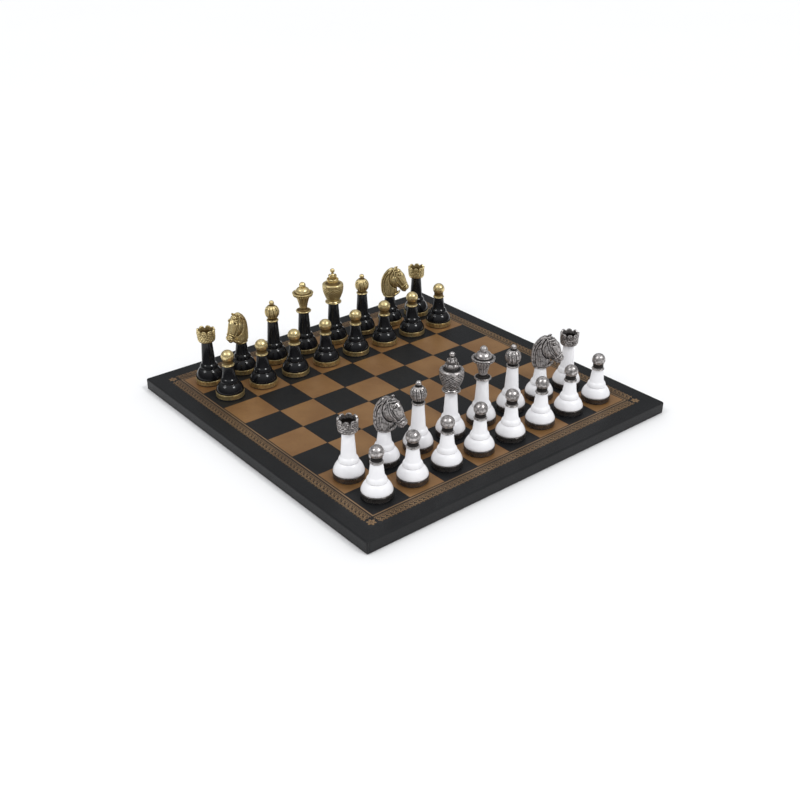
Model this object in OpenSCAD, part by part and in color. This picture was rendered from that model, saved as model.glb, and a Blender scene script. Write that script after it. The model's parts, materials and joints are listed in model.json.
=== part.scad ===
// Chess set with its board: a leatherette-covered board with stamped foil squares and border,
// and thirty-two pieces, each a cast metal head, a turned wooden body and a metal base cup.
// Millimetres, +Z up. The origin is the middle of the board's underside.
// +X runs along the ranks and +Y from the white side of the board to the black side.

/* [Board] */
// Side of one playing square
square = 35; // [30:1:45]
// Width of the margin round the playing field
margin_w = 25; // [20:1:35]
// Height of the board, lining included
board_h = 11.4; // [9:0.2:16]
// Radius of the soft arris round the board
arris_r = 1.6; // [1.2:0.1:2.5]
// Thickness of the leatherette cover
cover_t = 1; // [0.6:0.1:1.1]
// Width of the cover's turn-in under the board
turn_in_w = 22; // [14:1:40]
// Thickness of the lining sheet
lining_t = 0.6; // [0.4:0.1:1]
// Distance of the lining from the board's edge
lining_inset = 5; // [3:1:12]

/* [Foil] */
// Depth to which the foil is pressed into the cover
foil_t = 0.2; // [0.1:0.05:0.3]
// Gap between two foil squares that meet at a corner
foil_gap = 0.3; // [0.1:0.1:0.6]
// Distance of the fine line from the playing field
line_inset = 0.8; // [0.4:0.1:1.5]
// Width of the fine line
line_w = 1.2; // [0.6:0.1:2]
// Gap between the fine line and the lace
lace_gap = 1.3; // [0.6:0.1:2]
// Width of the lace strips
lace_w = 7.8; // [5:0.2:10]
// Gap between a lace strip and the corner rosettes
rosette_gap = 1.2; // [0.5:0.1:2]

/* [Base of a piece] */
// Diameter of the base cup
base_d = 25.4; // [21:0.2:31]
// Height of the base cup
cup_h = 4.4; // [3.8:0.1:6]
// Thickness of the cup's floor
cup_floor_t = 3; // [2.6:0.1:3.4]
// Wall of the cup round the body's spigot
cup_wall = 1.6; // [1:0.1:3]
// Height of the bright bead round the cup's rim
rim_h = 1; // [0.6:0.1:1.4]
// Thickness of the felt disc
felt_t = 0.8; // [0.5:0.1:1.5]
// Distance of the felt from the cup's edge
felt_inset = 0.7; // [0.3:0.1:2]

/* [Fixings] */
// Diameter of the tie rod
rod_d = 3; // [2:0.1:3.6]
// Depth to which the rod enters a head
rod_grip = 3.6; // [2.5:0.1:4]
// Nut, across its flats
nut_af = 5.5; // [5:0.1:6.5]
// Height of the nut
nut_h = 1.8; // [1.4:0.1:2]
// Room round the nut in the cup
nut_room = 0.4; // [0.2:0.1:0.8]
// Radial clearance of the body on the rod
bore_fit = 0.15; // [0.1:0.05:0.4]
// Radial clearance of the head and the nut on the rod's thread
thread_fit = 0.02; // [0.01:0.01:0.05]
// Radial clearance of the body's spigot in the cup
spigot_fit = 0.1; // [0.05:0.05:0.3]
// Glue line between two faces that are glued or drawn together
glue_t = 0.05; // [0.02:0.01:0.1]

/* [Turned body] */
// How far the bell stays inside the cup's edge
bell_inset = 0.3; // [0.1:0.1:1]
// Height of the rolled lower edge of the bell
bell_roll_h = 1; // [0.6:0.1:2]
// Radius of the bell just under its bead
bell_top_r = 7.6; // [7:0.1:8]
// Radius of the bead round the body
bead_r = 8.2; // [7.8:0.1:8.8]
// Height of the bead
bead_h = 3.2; // [2:0.1:3.6]
// Radius of the stem above the bead
stem_low_r = 6.1; // [5.2:0.1:6.6]
// Radius of the stem under the head
stem_high_r = 4.8; // [4.4:0.1:5]
// Height of the cove between the bead and the stem
cove_h = 2.4; // [1:0.1:3]

/* [Heights over the board] */
// Middle of the bead on a pawn or a knight
short_bead_z = 14.2; // [12:0.1:17]
// Middle of the bead on a tall piece
tall_bead_z = 15.3; // [13:0.1:20]
// Top of a knight's wooden body
knight_body_z = 28.8; // [24:0.2:32]
// Top of a pawn's wooden body
pawn_body_z = 29.4; // [26:0.2:34]
// Top of a tall piece's wooden body
tall_body_z = 40.4; // [34:0.2:50]

/* [Pawn head] */
// Radius of the pawn's collar
pawn_collar_r = 5.85; // [5.4:0.05:7]
// Radius of the pawn's neck
pawn_neck_r = 4; // [3:0.1:4.4]
// Radius of the pawn's ball
pawn_ball_r = 5.75; // [5:0.05:7]
// Height of the pawn's ball centre over its body
pawn_ball_rise = 8.75; // [8:0.05:10.5]

/* [Rook head] */
// Radius of the rook's rim
rook_rim_r = 8.4; // [7.5:0.1:9.5]
// Radius of the rook's foot
rook_foot_r = 6; // [5.2:0.1:6.8]
// Height of the rook's head
rook_h = 11.6; // [10:0.1:14]
// Thickness of the rook's wall
rook_wall = 1.7; // [1.2:0.1:2.2]
// Thickness of the rook's floor
rook_floor_t = 5.2; // [4.6:0.1:6]
// Width of a gap between merlons
notch_w = 1.9; // [1:0.1:2.4]
// Depth of a gap between merlons
notch_h = 2.8; // [1.5:0.1:3.6]

/* [Bishop head] */
// Radius of the bishop's collar
bishop_collar_r = 5.6; // [5.2:0.1:7]
// Radius of the bishop's onion
bishop_onion_r = 6.8; // [6:0.1:8]
// Half height of the bishop's onion
bishop_onion_h = 7.2; // [6.5:0.1:8]
// Height of the onion's middle over the body
bishop_onion_rise = 9; // [8.8:0.1:10]
// Radius of the bishop's knob
bishop_knob_r = 2.4; // [2:0.1:3]

/* [Queen head] */
// Radius of the queen's collar
queen_collar_r = 7.25; // [6.4:0.05:8.5]
// Radius of the queen's neck
queen_neck_r = 3.45; // [3:0.05:4]
// Radius of the goblet under the bead ring
goblet_r = 7.25; // [6.5:0.05:8]
// Radius of the goblet's rim
goblet_rim_r = 10; // [9:0.1:11.5]
// Radius of the queen's dome
dome_r = 7.55; // [7:0.05:8.5]
// Height of the rim over the body
goblet_rise = 19.2; // [17:0.1:22]
// Height of the dome
dome_h = 5.6; // [4:0.1:7]
// Radius of the queen's knob
queen_knob_r = 3.2; // [2.4:0.1:3.6]

/* [King head] */
// Radius of the king's collar
king_collar_r = 7.9; // [7:0.1:9]
// Radius of the urn at its neck
urn_neck_r = 5.6; // [5:0.1:6.5]
// Radius of the urn's rim
urn_rim_r = 10.1; // [9:0.1:11.5]
// Height of the urn's rim over the body
urn_rise = 19.4; // [17:0.1:22]
// Radius of the crown of leaves
crown_r = 5.85; // [4.5:0.05:7]
// Height of the crown of leaves
crown_h = 5.2; // [4:0.1:7]
// Radius of the disc over the crown
crown_disc_r = 3.8; // [3:0.1:4.4]
// Radius of the king's top ball
king_ball_r = 2.05; // [1.6:0.05:2.6]

/* [Knight head] */
// Thickness of the horse's neck
horse_neck_t = 11; // [9:0.2:13]
// Thickness of the horse's head
horse_face_t = 8.4; // [7:0.2:10]
// Radius of the knight's collar
horse_foot_r = 7.7; // [6.4:0.1:9]
// Way the left white knight faces, in degrees from +X
white_left_turn = -62; // [-180:1:180]
// Way the right white knight faces
white_right_turn = -50; // [-180:1:180]
// Way the left black knight faces
black_left_turn = -157; // [-180:1:180]
// Way the right black knight faces
black_right_turn = -47; // [-180:1:180]

/* [Hidden] */
FILES = 8;
STEPS = 6;
MERLONS = 8;
$fn = 64;

// Board
field_w = FILES * square;
board_w = field_w + 2 * margin_w;
core_w = board_w - 2 * cover_t;
inner_arris_r = arris_r - cover_t / 2;
sheet_z = lining_t + cover_t;
line_in = field_w / 2 + line_inset;
line_out = line_in + line_w;
lace_in = line_out + lace_gap;
strip_half = lace_in - rosette_gap;

// Base of a piece, with heights counted from the board's top
cup_r = base_d / 2;
cup_z = felt_t + glue_t;
cup_top = cup_z + cup_h;
recess_z = cup_z + cup_floor_t;
recess_r = cup_r - cup_wall;
spigot_r = recess_r - spigot_fit;
shoulder_z = cup_top + glue_t;
rim_step = rim_h / 2;
rod_r = rod_d / 2;
bore_r = rod_r + bore_fit;
nut_pocket_r = nut_af / sqrt(3) + nut_room;
nut_pocket_h = nut_h + nut_room / 2;
nut_z = cup_z + nut_pocket_h - nut_h - glue_t;
bell_r = cup_r - bell_inset;

// Collars and edges that the heads share
collar_h = 1.7;
collar_edge = 0.5;
neck_rise = 3.4;

// Outline helpers: an arc of an ellipse, a straight run that swells outwards by a sine,
// and a list of points without its first one
function arc(c, r, a, b) = [
    for (k = [0 : STEPS])
        let (t = a + (b - a) * k / STEPS) [c[0] + r[0] * cos(t), c[1] + r[1] * sin(t)]
];
function swell(a, b, bulge) = [
    for (k = [0 : STEPS])
        let (t = k / STEPS) a + (b - a) * t + [bulge * sin(180 * t), 0]
];
function tail(points) = [for (k = [1 : len(points) - 1]) points[k]];

// What stands where: the back rows from the left-hand file, seen from the white side
WHITE_ROW = ["rook", "knight", "bishop", "king", "queen", "bishop", "knight", "rook"];
BLACK_ROW = ["rook", "knight", "bishop", "queen", "king", "bishop", "knight", "rook"];
SIDES = ["white", "black"];
HALVES = ["left", "right"];
MAJOR_RANK = [1, 7];
PAWN_RANK = [0, 6];

function is_single(kind) = kind == "king" || kind == "queen";
function half(file) = HALVES[file < FILES / 2 ? 0 : 1];
function row_of(side) = side == 0 ? WHITE_ROW : BLACK_ROW;
function major_name(side, file) =
    let (kind = row_of(side)[file])
    is_single(kind) ? str(SIDES[side], "_", kind) : str(SIDES[side], "_", half(file), "_", kind);
function pawn_name(side, file) = str(SIDES[side], "_pawn_", file + 1);
function middle(step) = (step - (FILES - 1) / 2) * square;
function turn(side, file) =
    side == 0
        ? (file < FILES / 2 ? white_left_turn : white_right_turn)
        : (file < FILES / 2 ? black_left_turn : black_right_turn);
function body_top(kind) =
    kind == "pawn" ? pawn_body_z : kind == "knight" ? knight_body_z : tall_body_z;
function bead_z(kind) = kind == "pawn" || kind == "knight" ? short_bead_z : tall_bead_z;

WOOD = ["white", "#151517"];
METAL = ["#8d8983", "#c2a25a"];
CUP = ["#5a5652", "#b79449"];
FOIL = "#8c6941";

// ---------- Board ----------

// Section of a slab with its two upper edges rounded
module slab_section(w, h, r) {
    translate([-w / 2, 0]) square([w, h - r]);
    translate([r - w / 2, 0]) square([w - 2 * r, h]);
    for (side = [-1, 1]) translate([side * (w / 2 - r), h - r]) circle(r);
}

// Square slab whose four upper edges are rounded
module slab(w, h, r) {
    intersection() {
        translate([0, w / 2, 0]) rotate([90, 0, 0]) linear_extrude(w) slab_section(w, h, r);
        translate([-w / 2, 0, 0]) rotate([90, 0, 90]) linear_extrude(w) slab_section(w, h, r);
    }
}

// Square block standing on z
module block(w, z, h) {
    translate([-w / 2, -w / 2, z]) cube([w, w, h]);
}

// Square frame between two half widths
module frame(inner, outer, z, h) {
    difference() {
        block(2 * outer, z, h);
        block(2 * inner, z - h, 3 * h);
    }
}

// Bronze squares: every square whose file and rank add up to an odd number
module bronze_cells(z, h) {
    side = square - foil_gap;
    for (file = [0 : FILES - 1], rank = [0 : FILES - 1])
        if ((file + rank) % 2 == 1)
            translate([middle(file) - side / 2, middle(rank) - side / 2, z]) cube([side, side, h]);
}

// Four lace strips between the corners
module lace_strips(z, h) {
    for (a = [0 : 90 : 270])
        rotate(a) translate([-strip_half, lace_in, z]) cube([2 * strip_half, lace_w, h]);
}

// Four corner ornaments
module rosettes(z, h) {
    for (a = [0 : 90 : 270])
        rotate(a) translate([lace_in, lace_in, z]) cube([lace_w, lace_w, h]);
}

module foil_pockets() {
    bronze_cells(board_h - foil_t, 2 * foil_t);
    frame(line_in, line_out, board_h - foil_t, 2 * foil_t);
    lace_strips(board_h - foil_t, 2 * foil_t);
    rosettes(board_h - foil_t, 2 * foil_t);
}

module core_solid() {
    translate([0, 0, sheet_z]) slab(core_w, board_h - cover_t - sheet_z, inner_arris_r);
    block(board_w - 2 * turn_in_w, lining_t, 2 * cover_t);
}

module board_core() {
    color("#6b5138") core_solid();
}

module board_cover() {
    color("#26272a")
        difference() {
            translate([0, 0, lining_t]) slab(board_w, board_h - lining_t, arris_r);
            core_solid();
            foil_pockets();
        }
}

module board_lining() {
    color("#2b2a2c") block(board_w - 2 * lining_inset, 0, lining_t);
}

module bronze_squares() {
    color(FOIL) bronze_cells(board_h - foil_t, foil_t);
}

module border_line() {
    color(FOIL) frame(line_in, line_out, board_h - foil_t, foil_t);
}

module border_lace() {
    color(FOIL) lace_strips(board_h - foil_t, foil_t);
}

module corner_rosettes() {
    color(FOIL) rosettes(board_h - foil_t, foil_t);
}

// ---------- Parts that every piece has ----------

module felt_disc() {
    color("#1d1c1e") cylinder(h = felt_t, r = cup_r - felt_inset);
}

module base_cup(side) {
    outline = [
        [bore_r, cup_z],
        [cup_r - rim_step, cup_z],
        [cup_r, cup_z + rim_step],
        [cup_r, cup_z + rim_h],
        [cup_r - rim_step, cup_z + rim_h + rim_step],
        [cup_r - rim_step, cup_top - rim_h - rim_step],
        [cup_r, cup_top - rim_h],
        [cup_r, cup_top - rim_step],
        [cup_r - rim_step, cup_top],
        [recess_r, cup_top],
        [recess_r, recess_z],
        [bore_r, recess_z]
    ];
    color(CUP[side])
        difference() {
            rotate_extrude() polygon(outline);
            translate([0, 0, cup_z - nut_pocket_h]) cylinder(h = 2 * nut_pocket_h, r = nut_pocket_r);
        }
}

module nut() {
    color("#9b9b9b")
        translate([0, 0, nut_z])
            difference() {
                cylinder(h = nut_h, r = nut_af / sqrt(3), $fn = 6);
                translate([0, 0, -nut_h]) cylinder(h = 3 * nut_h, r = rod_r + thread_fit);
            }
}

module tie_rod(top) {
    color("#a8a8a8") translate([0, 0, nut_z]) cylinder(h = top + rod_grip - nut_z, r = rod_r);
}

// Turned body: spigot, rolled edge, bell, bead, cove and tapering stem, bored for the rod
module turned_body(side, top, bead) {
    bead_half = bead_h / 2;
    spigot_z = recess_z + glue_t;
    roll_z = shoulder_z + bell_roll_h;
    bell_h = bead - bead_half - roll_z;
    cove_z = bead + bead_half + cove_h;
    cove_r = bead_r - bead_half / 2;
    outline = concat(
        [[bore_r, spigot_z], [spigot_r, spigot_z], [spigot_r, shoulder_z]],
        arc([bell_r - bell_roll_h / 2, roll_z], [bell_roll_h / 2, bell_roll_h], -90, 0),
        tail(arc([bell_top_r, roll_z], [bell_r - bell_top_r, bell_h], 0, 90)),
        tail(arc([cove_r, bead], [bead_r - cove_r, bead_half], -90, 90)),
        tail(arc([cove_r, cove_z], [cove_r - stem_low_r, cove_h], -90, -180)),
        [[stem_high_r, top], [bore_r, top]]
    );
    color(WOOD[side]) rotate_extrude() polygon(outline);
}

// Everything of a piece below its head
module standing_parts(side, kind) {
    felt_disc();
    base_cup(side);
    nut();
    tie_rod(body_top(kind));
    turned_body(side, body_top(kind), bead_z(kind));
}

// ---------- Heads, with heights counted from the body's top ----------

function collar(r) = [
    [0, 0],
    [r - collar_edge, 0],
    [r, collar_edge],
    [r, collar_h - collar_edge],
    [r - collar_edge, collar_h]
];

// Blind hole in a head for the end of the tie rod
module rod_hole() {
    translate([0, 0, -rod_grip]) cylinder(h = 2 * rod_grip + glue_t, r = rod_r + thread_fit);
}

module turned_head(outline) {
    difference() {
        rotate_extrude() polygon(outline);
        rod_hole();
    }
}

module pawn_head() {
    turned_head(concat(
        collar(pawn_collar_r),
        [[pawn_neck_r, collar_h]],
        arc([0, pawn_ball_rise], [pawn_ball_r, pawn_ball_r], -acos(pawn_neck_r / pawn_ball_r), 90)
    ));
}

module rook_head() {
    shoulder_h = rook_h / 4;
    shoulder_r = rook_rim_r - rim_step - rook_foot_r;
    difference() {
        turned_head(concat(
            [[0, 0], [rook_foot_r, 0]],
            tail(arc([rook_foot_r, shoulder_h], [shoulder_r, shoulder_h], -90, 0)),
            [[rook_rim_r, rook_h]],
            [[rook_rim_r - rook_wall, rook_h], [rook_rim_r - rook_wall - rim_step, rook_floor_t]],
            [[0, rook_floor_t]]
        ));
        for (k = [0 : MERLONS / 2 - 1])
            rotate((k + 1 / 2) * 360 / MERLONS)
                translate([-2 * rook_rim_r, -notch_w / 2, rook_h - notch_h])
                    cube([4 * rook_rim_r, notch_w, 2 * notch_h]);
    }
}

module bishop_head() {
    low = asin((neck_rise - bishop_onion_rise) / bishop_onion_h);
    high = 64;
    knob_z = bishop_onion_rise + bishop_onion_h * sin(high) + bishop_knob_r;
    turned_head(concat(
        collar(bishop_collar_r),
        arc([0, bishop_onion_rise], [bishop_onion_r, bishop_onion_h], low, high),
        arc([0, knob_z], [bishop_knob_r, bishop_knob_r], -50, 90)
    ));
}

module queen_head() {
    lip = goblet_rim_r - goblet_r;
    dome_z = goblet_rise + collar_edge;
    knob_neck_r = queen_knob_r / 2;
    knob_z = dome_z + dome_h + knob_neck_r;
    turned_head(concat(
        collar(queen_collar_r),
        arc([goblet_r, neck_rise], [queen_neck_r - goblet_r, goblet_rise - lip - neck_rise], 0, 60),
        [[goblet_r, goblet_rise - lip]],
        [[goblet_rim_r, goblet_rise - collar_edge], [goblet_rim_r, goblet_rise]],
        arc([knob_neck_r, dome_z], [dome_r - knob_neck_r, dome_h], 0, 90),
        arc([0, knob_z], [queen_knob_r, queen_knob_r], -20, 90)
    ));
}

module king_head() {
    crown_z = urn_rise + collar_edge;
    disc_z = crown_z + crown_h + neck_rise;
    ball_z = disc_z + 2 * king_ball_r;
    turned_head(concat(
        collar(king_collar_r),
        swell([urn_neck_r, neck_rise], [urn_rim_r, urn_rise], collar_edge),
        [[urn_rim_r - collar_edge, crown_z]],
        arc([crown_disc_r, crown_z + crown_h / 2], [crown_r - crown_disc_r, crown_h / 2], -90, 90),
        [[crown_disc_r / 2, disc_z - collar_edge], [crown_disc_r, disc_z]],
        [[king_ball_r / 2, disc_z + collar_h]],
        arc([0, ball_z], [king_ball_r, king_ball_r], -60, 90)
    ));
}

// Side outline of the horse's neck: crest, poll, throat and chest, facing +X
NECK_OUTLINE = [
    [-6, 2], [-8.4, 6], [-8.8, 12], [-8, 18], [-5.6, 24], [-1, 28.5], [4, 30.5],
    [8, 28], [6, 20], [4, 12], [6, 9], [9.5, 7.5], [9, 4], [6, 2]
];

// Side outline of the horse's face: poll, forehead, nose, lips, jaw and cheek
FACE_OUTLINE = [
    [0, 27], [4, 30.5], [7, 32.4], [9.5, 29], [12.5, 26.5], [14.5, 21], [17, 16], [19, 11.5],
    [18.6, 8.6], [15.5, 6], [13.6, 7.2], [12, 10], [8, 10.6], [3.6, 12], [0.4, 17]
];

module side_plate(outline, t) {
    translate([0, t / 2, 0]) rotate([90, 0, 0]) linear_extrude(t) polygon(outline);
}

module knight_head() {
    difference() {
        union() {
            rotate_extrude() polygon(concat(collar(horse_foot_r), [[0, collar_h + neck_rise]]));
            side_plate(NECK_OUTLINE, horse_neck_t);
            side_plate(FACE_OUTLINE, horse_face_t);
        }
        rod_hole();
    }
}

module head(kind) {
    if (kind == "pawn") pawn_head();
    if (kind == "rook") rook_head();
    if (kind == "knight") knight_head();
    if (kind == "bishop") bishop_head();
    if (kind == "queen") queen_head();
    if (kind == "king") king_head();
}

// ---------- The set on its squares ----------

module stand(file, rank) {
    translate([middle(file), middle(rank), board_h]) children();
}

module major_head(side, file) {
    kind = row_of(side)[file];
    color(METAL[side])
        stand(file, MAJOR_RANK[side])
            translate([0, 0, body_top(kind) + glue_t])
                rotate(kind == "knight" ? turn(side, file) : 0)
                    head(kind);
}

module major_body(side, file) {
    stand(file, MAJOR_RANK[side]) standing_parts(side, row_of(side)[file]);
}

module pawn(side, file) {
    stand(file, PAWN_RANK[side]) {
        standing_parts(side, "pawn");
        color(METAL[side]) translate([0, 0, pawn_body_z + glue_t]) pawn_head();
    }
}

board_core();
board_cover();
board_lining();
bronze_squares();
border_line();
border_lace();
corner_rosettes();
for (side = [0, 1], file = [0 : FILES - 1]) {
    major_head(side, file);
    major_body(side, file);
    pawn(side, file);
}
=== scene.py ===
"""The looks of a chess set on its leatherette board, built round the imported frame.

Every chess piece is a cast metal head on a turned and lacquered body in a metal base cup.
The board is a leatherette-covered slab with stamped foil squares and a lace border.
Shapes are worked out in millimetres round each piece's own axis, and set down in metres.
"""

import json
import logging
import math
from dataclasses import dataclass, field
from enum import Enum
from typing import Callable, Iterable, Optional, Sequence

import bpy
import numpy as np
from mathutils import Matrix, Vector

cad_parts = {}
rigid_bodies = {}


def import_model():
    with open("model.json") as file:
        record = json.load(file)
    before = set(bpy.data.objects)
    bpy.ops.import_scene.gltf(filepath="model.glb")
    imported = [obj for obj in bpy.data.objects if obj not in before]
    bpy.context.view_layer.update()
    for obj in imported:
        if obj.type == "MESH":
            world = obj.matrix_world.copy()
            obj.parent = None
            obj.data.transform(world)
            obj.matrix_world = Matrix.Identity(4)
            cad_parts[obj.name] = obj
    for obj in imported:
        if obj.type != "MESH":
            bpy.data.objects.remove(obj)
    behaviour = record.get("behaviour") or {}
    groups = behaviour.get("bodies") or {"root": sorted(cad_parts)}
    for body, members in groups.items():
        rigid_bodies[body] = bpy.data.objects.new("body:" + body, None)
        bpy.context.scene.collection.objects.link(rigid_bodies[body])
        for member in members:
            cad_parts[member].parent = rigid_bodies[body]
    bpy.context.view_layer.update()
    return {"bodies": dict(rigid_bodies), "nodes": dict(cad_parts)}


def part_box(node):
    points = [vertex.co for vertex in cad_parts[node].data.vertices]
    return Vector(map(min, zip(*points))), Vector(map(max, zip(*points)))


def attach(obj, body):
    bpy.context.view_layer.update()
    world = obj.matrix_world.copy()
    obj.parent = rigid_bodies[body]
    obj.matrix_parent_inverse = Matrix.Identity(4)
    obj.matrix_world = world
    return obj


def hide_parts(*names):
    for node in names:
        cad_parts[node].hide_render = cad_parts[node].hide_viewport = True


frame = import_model()

LOG = logging.getLogger("chess_set")
MM = 0.001
FULL = 2 * math.pi
TINY = 1e-9
ROUNDING = 0.01

# How strongly fine grooves and broad hollows count in a surface's marks, how often it is
# smoothed to find them, and the largest sum that the logistic curve is given.
FINE_GAIN = 22.0
BROAD_GAIN = 7.0
FINE_ROUNDS = 2
BROAD_ROUNDS = 16
MARK_LIMIT = 12

# Edges sharper than this are shaded as edges.
CREASE = math.radians(50)

Relief = Callable[[np.ndarray, np.ndarray, np.ndarray], np.ndarray]


class Side(Enum):
    """The two sides of the set, with the finishes that tell them apart."""

    WHITE = "white"
    BLACK = "black"


class Kind(Enum):
    """The kinds of chess piece."""

    PAWN = "pawn"
    ROOK = "rook"
    KNIGHT = "knight"
    BISHOP = "bishop"
    QUEEN = "queen"
    KING = "king"


# ---------------------------------------------------------------- surfaces


@dataclass
class Surface:
    """A mesh held as arrays: points, four-sided and three-sided faces, and a mark per point."""

    points: np.ndarray
    quads: np.ndarray = field(default_factory=lambda: np.zeros((0, 4), int))
    tris: np.ndarray = field(default_factory=lambda: np.zeros((0, 3), int))
    marks: Optional[np.ndarray] = None

    def placed(self, offset: Sequence[float], turn: float = 0.0) -> "Surface":
        """A copy turned about Z and then moved.

        Args:
            offset: how far it moves, in the surface's own units.
            turn: angle about Z, in radians.

        Returns:
            The new surface.
        """
        c, s = math.cos(turn), math.sin(turn)
        spin = np.array([[c, s, 0], [-s, c, 0], [0, 0, 1]])
        return Surface(self.points @ spin + np.asarray(offset), self.quads, self.tris, self.marks)

    def normals(self) -> np.ndarray:
        """Unit normals at the points: the sum of the faces' cross products round each point.

        A quad's cross product is that of its diagonals, and a triangle's that of two sides.

        Returns:
            One unit vector per point.
        """
        total = np.zeros_like(self.points)
        for faces, (a, b), (c, d) in (
            (self.quads, (2, 0), (3, 1)),
            (self.tris, (1, 0), (2, 0)),
        ):
            p = self.points[faces]
            flat = np.cross(p[:, a] - p[:, b], p[:, c] - p[:, d])
            for corner in range(faces.shape[1]):
                for axis in range(3):
                    total[:, axis] += np.bincount(
                        faces[:, corner], flat[:, axis], len(self.points)
                    )
        return total / np.maximum(np.linalg.norm(total, axis=1, keepdims=True), 1e-12)

    def edges(self) -> np.ndarray:
        """The sides of the faces.

        Returns:
            A pair of point numbers per side.
        """
        sides = [self.quads[:, [k, (k + 1) % 4]] for k in range(4)]
        sides += [self.tris[:, [k, (k + 1) % 3]] for k in range(3)]
        return np.concatenate(sides)

    def averaged(self, values: np.ndarray, rounds: int, share: float = 0.6) -> np.ndarray:
        """Values or points evened out over their neighbours.

        Args:
            values: one number, or one row of numbers, per point.
            rounds: how often each point moves towards the mean of its neighbours.
            share: how far it moves each time, from 0 to 1.

        Returns:
            The new values.
        """
        a, b = self.edges().T
        count = len(self.points)
        heads, tails = np.concatenate([a, b]), np.concatenate([b, a])
        near = np.maximum(np.bincount(heads, minlength=count), 1)
        rows = values.reshape(count, -1).astype(float)
        for _ in range(rounds):
            mean = np.stack(
                [np.bincount(heads, column[tails], count) / near for column in rows.T], axis=1
            )
            rows = rows + share * (mean - rows)
        return rows.reshape(values.shape)

    def marked(self) -> "Surface":
        """Marks how hollow the surface is at each point: 0 on a ridge, 1 in a groove.

        A smoothed copy lies off each point along its normal, outwards in a hollow. The offset of
        a lightly smoothed copy shows fine grooves, and that of a well smoothed one shows necks
        Their sum is eased into 0 to 1 by a logistic curve. The metals darken by this mark, as
        patina and as painted shade.

        Returns:
            This surface.
        """
        normals = self.normals()
        light = self.averaged(self.points, FINE_ROUNDS)
        well = self.averaged(light, BROAD_ROUNDS)
        fine = np.einsum("ij,ij->i", light - self.points, normals)
        broad = np.einsum("ij,ij->i", well - self.points, normals)
        total = self.averaged(FINE_GAIN * fine + BROAD_GAIN * broad, 1)
        self.marks = 1 / (1 + np.exp(-np.clip(total, -MARK_LIMIT, MARK_LIMIT)))
        return self

    def to_object(self, name: str, scale: float = MM) -> bpy.types.Object:
        """A Blender object at the origin with this surface as its mesh.

        Args:
            name: the object's name.
            scale: metres per unit of the points.

        Returns:
            The new object, linked to the scene.
        """
        mesh = bpy.data.meshes.new(name)
        mesh.vertices.add(len(self.points))
        mesh.vertices.foreach_set("co", (self.points * scale).astype(np.float32).ravel())
        loops = np.concatenate([self.quads.ravel(), self.tris.ravel()]).astype(np.int32)
        mesh.loops.add(len(loops))
        mesh.loops.foreach_set("vertex_index", loops)
        four, three = len(self.quads), len(self.tris)
        starts = np.concatenate([np.arange(four) * 4, four * 4 + np.arange(three) * 3])
        mesh.polygons.add(four + three)
        mesh.polygons.foreach_set("loop_start", starts.astype(np.int32))
        mesh.polygons.foreach_set("use_smooth", np.ones(four + three, bool))
        mesh.update(calc_edges=True)
        mesh.validate()
        mesh.set_sharp_from_angle(angle=CREASE)
        # Stores the hollowness mark that the metals darken by: patina and painted shade.
        if self.marks is not None:
            hollow = mesh.attributes.new(RECESS, "FLOAT", "POINT")
            hollow.data.foreach_set("value", self.marks.astype(np.float32))
        made = bpy.data.objects.new(name, mesh)
        bpy.context.scene.collection.objects.link(made)
        return made


def joined(parts: Iterable[Surface]) -> Surface:
    """Several surfaces as one, each kept as its own shell.

    Args:
        parts: the surfaces.

    Returns:
        One surface that holds them all.
    """
    points, quads, tris, first = [], [], [], 0
    for part in parts:
        points.append(part.points)
        quads.append(part.quads + first)
        tris.append(part.tris + first)
        first += len(part.points)
    return Surface(np.concatenate(points), np.concatenate(quads), np.concatenate(tris))


def grid(
    points: np.ndarray,
    around: bool = True,
    along: bool = False,
    ends: tuple[Optional[Sequence[float]], Optional[Sequence[float]]] = (None, None),
) -> Surface:
    """A surface from a grid of points, whose columns cross rows on the outside by the right hand.

    Args:
        points: an array of rows by columns by 3.
        around: whether the last column meets the first.
        along: whether the last row meets the first.
        ends: a point that closes the first row and one that closes the last, or None.

    Returns:
        The surface.
    """
    rows, columns = points.shape[:2]
    number = np.arange(rows * columns).reshape(rows, columns)
    right = np.roll(number, -1, axis=1)
    if not around:
        number, right = number[:, :-1], number[:, 1:]
    low, low_right = number, right
    high, high_right = np.roll(number, -1, axis=0), np.roll(right, -1, axis=0)
    if not along:
        low, low_right, high, high_right = low[:-1], low_right[:-1], high[:-1], high_right[:-1]
    quads = np.stack([low, low_right, high_right, high], axis=-1).reshape(-1, 4)
    flat = points.reshape(-1, 3)
    tris = []
    for end, row, flip in ((ends[0], 0, True), (ends[1], rows - 1, False)):
        if end is None:
            continue
        centre = np.full(columns, len(flat))
        here = np.arange(columns) + row * columns
        there = np.roll(here, -1)
        first, second = (there, here) if flip else (here, there)
        tris.append(np.stack([centre, first, second], axis=-1))
        flat = np.vstack([flat, np.asarray(end, float)])
    return Surface(flat, quads, np.concatenate(tris) if tris else np.zeros((0, 3), int))


def arc(
    centre: Sequence[float], radii: Sequence[float], start: float, end: float, steps: int = 10
) -> np.ndarray:
    """Points on an ellipse: centre plus radii times cosine and sine of the angle.

    Args:
        centre: its centre, as radius and height.
        radii: its two half widths.
        start: first angle, in degrees.
        end: last angle, in degrees.
        steps: how many spans.

    Returns:
        The points, one per row.
    """
    angle = np.radians(np.linspace(start, end, steps + 1))
    return np.stack(
        [centre[0] + radii[0] * np.cos(angle), centre[1] + radii[1] * np.sin(angle)], axis=1
    )


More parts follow.
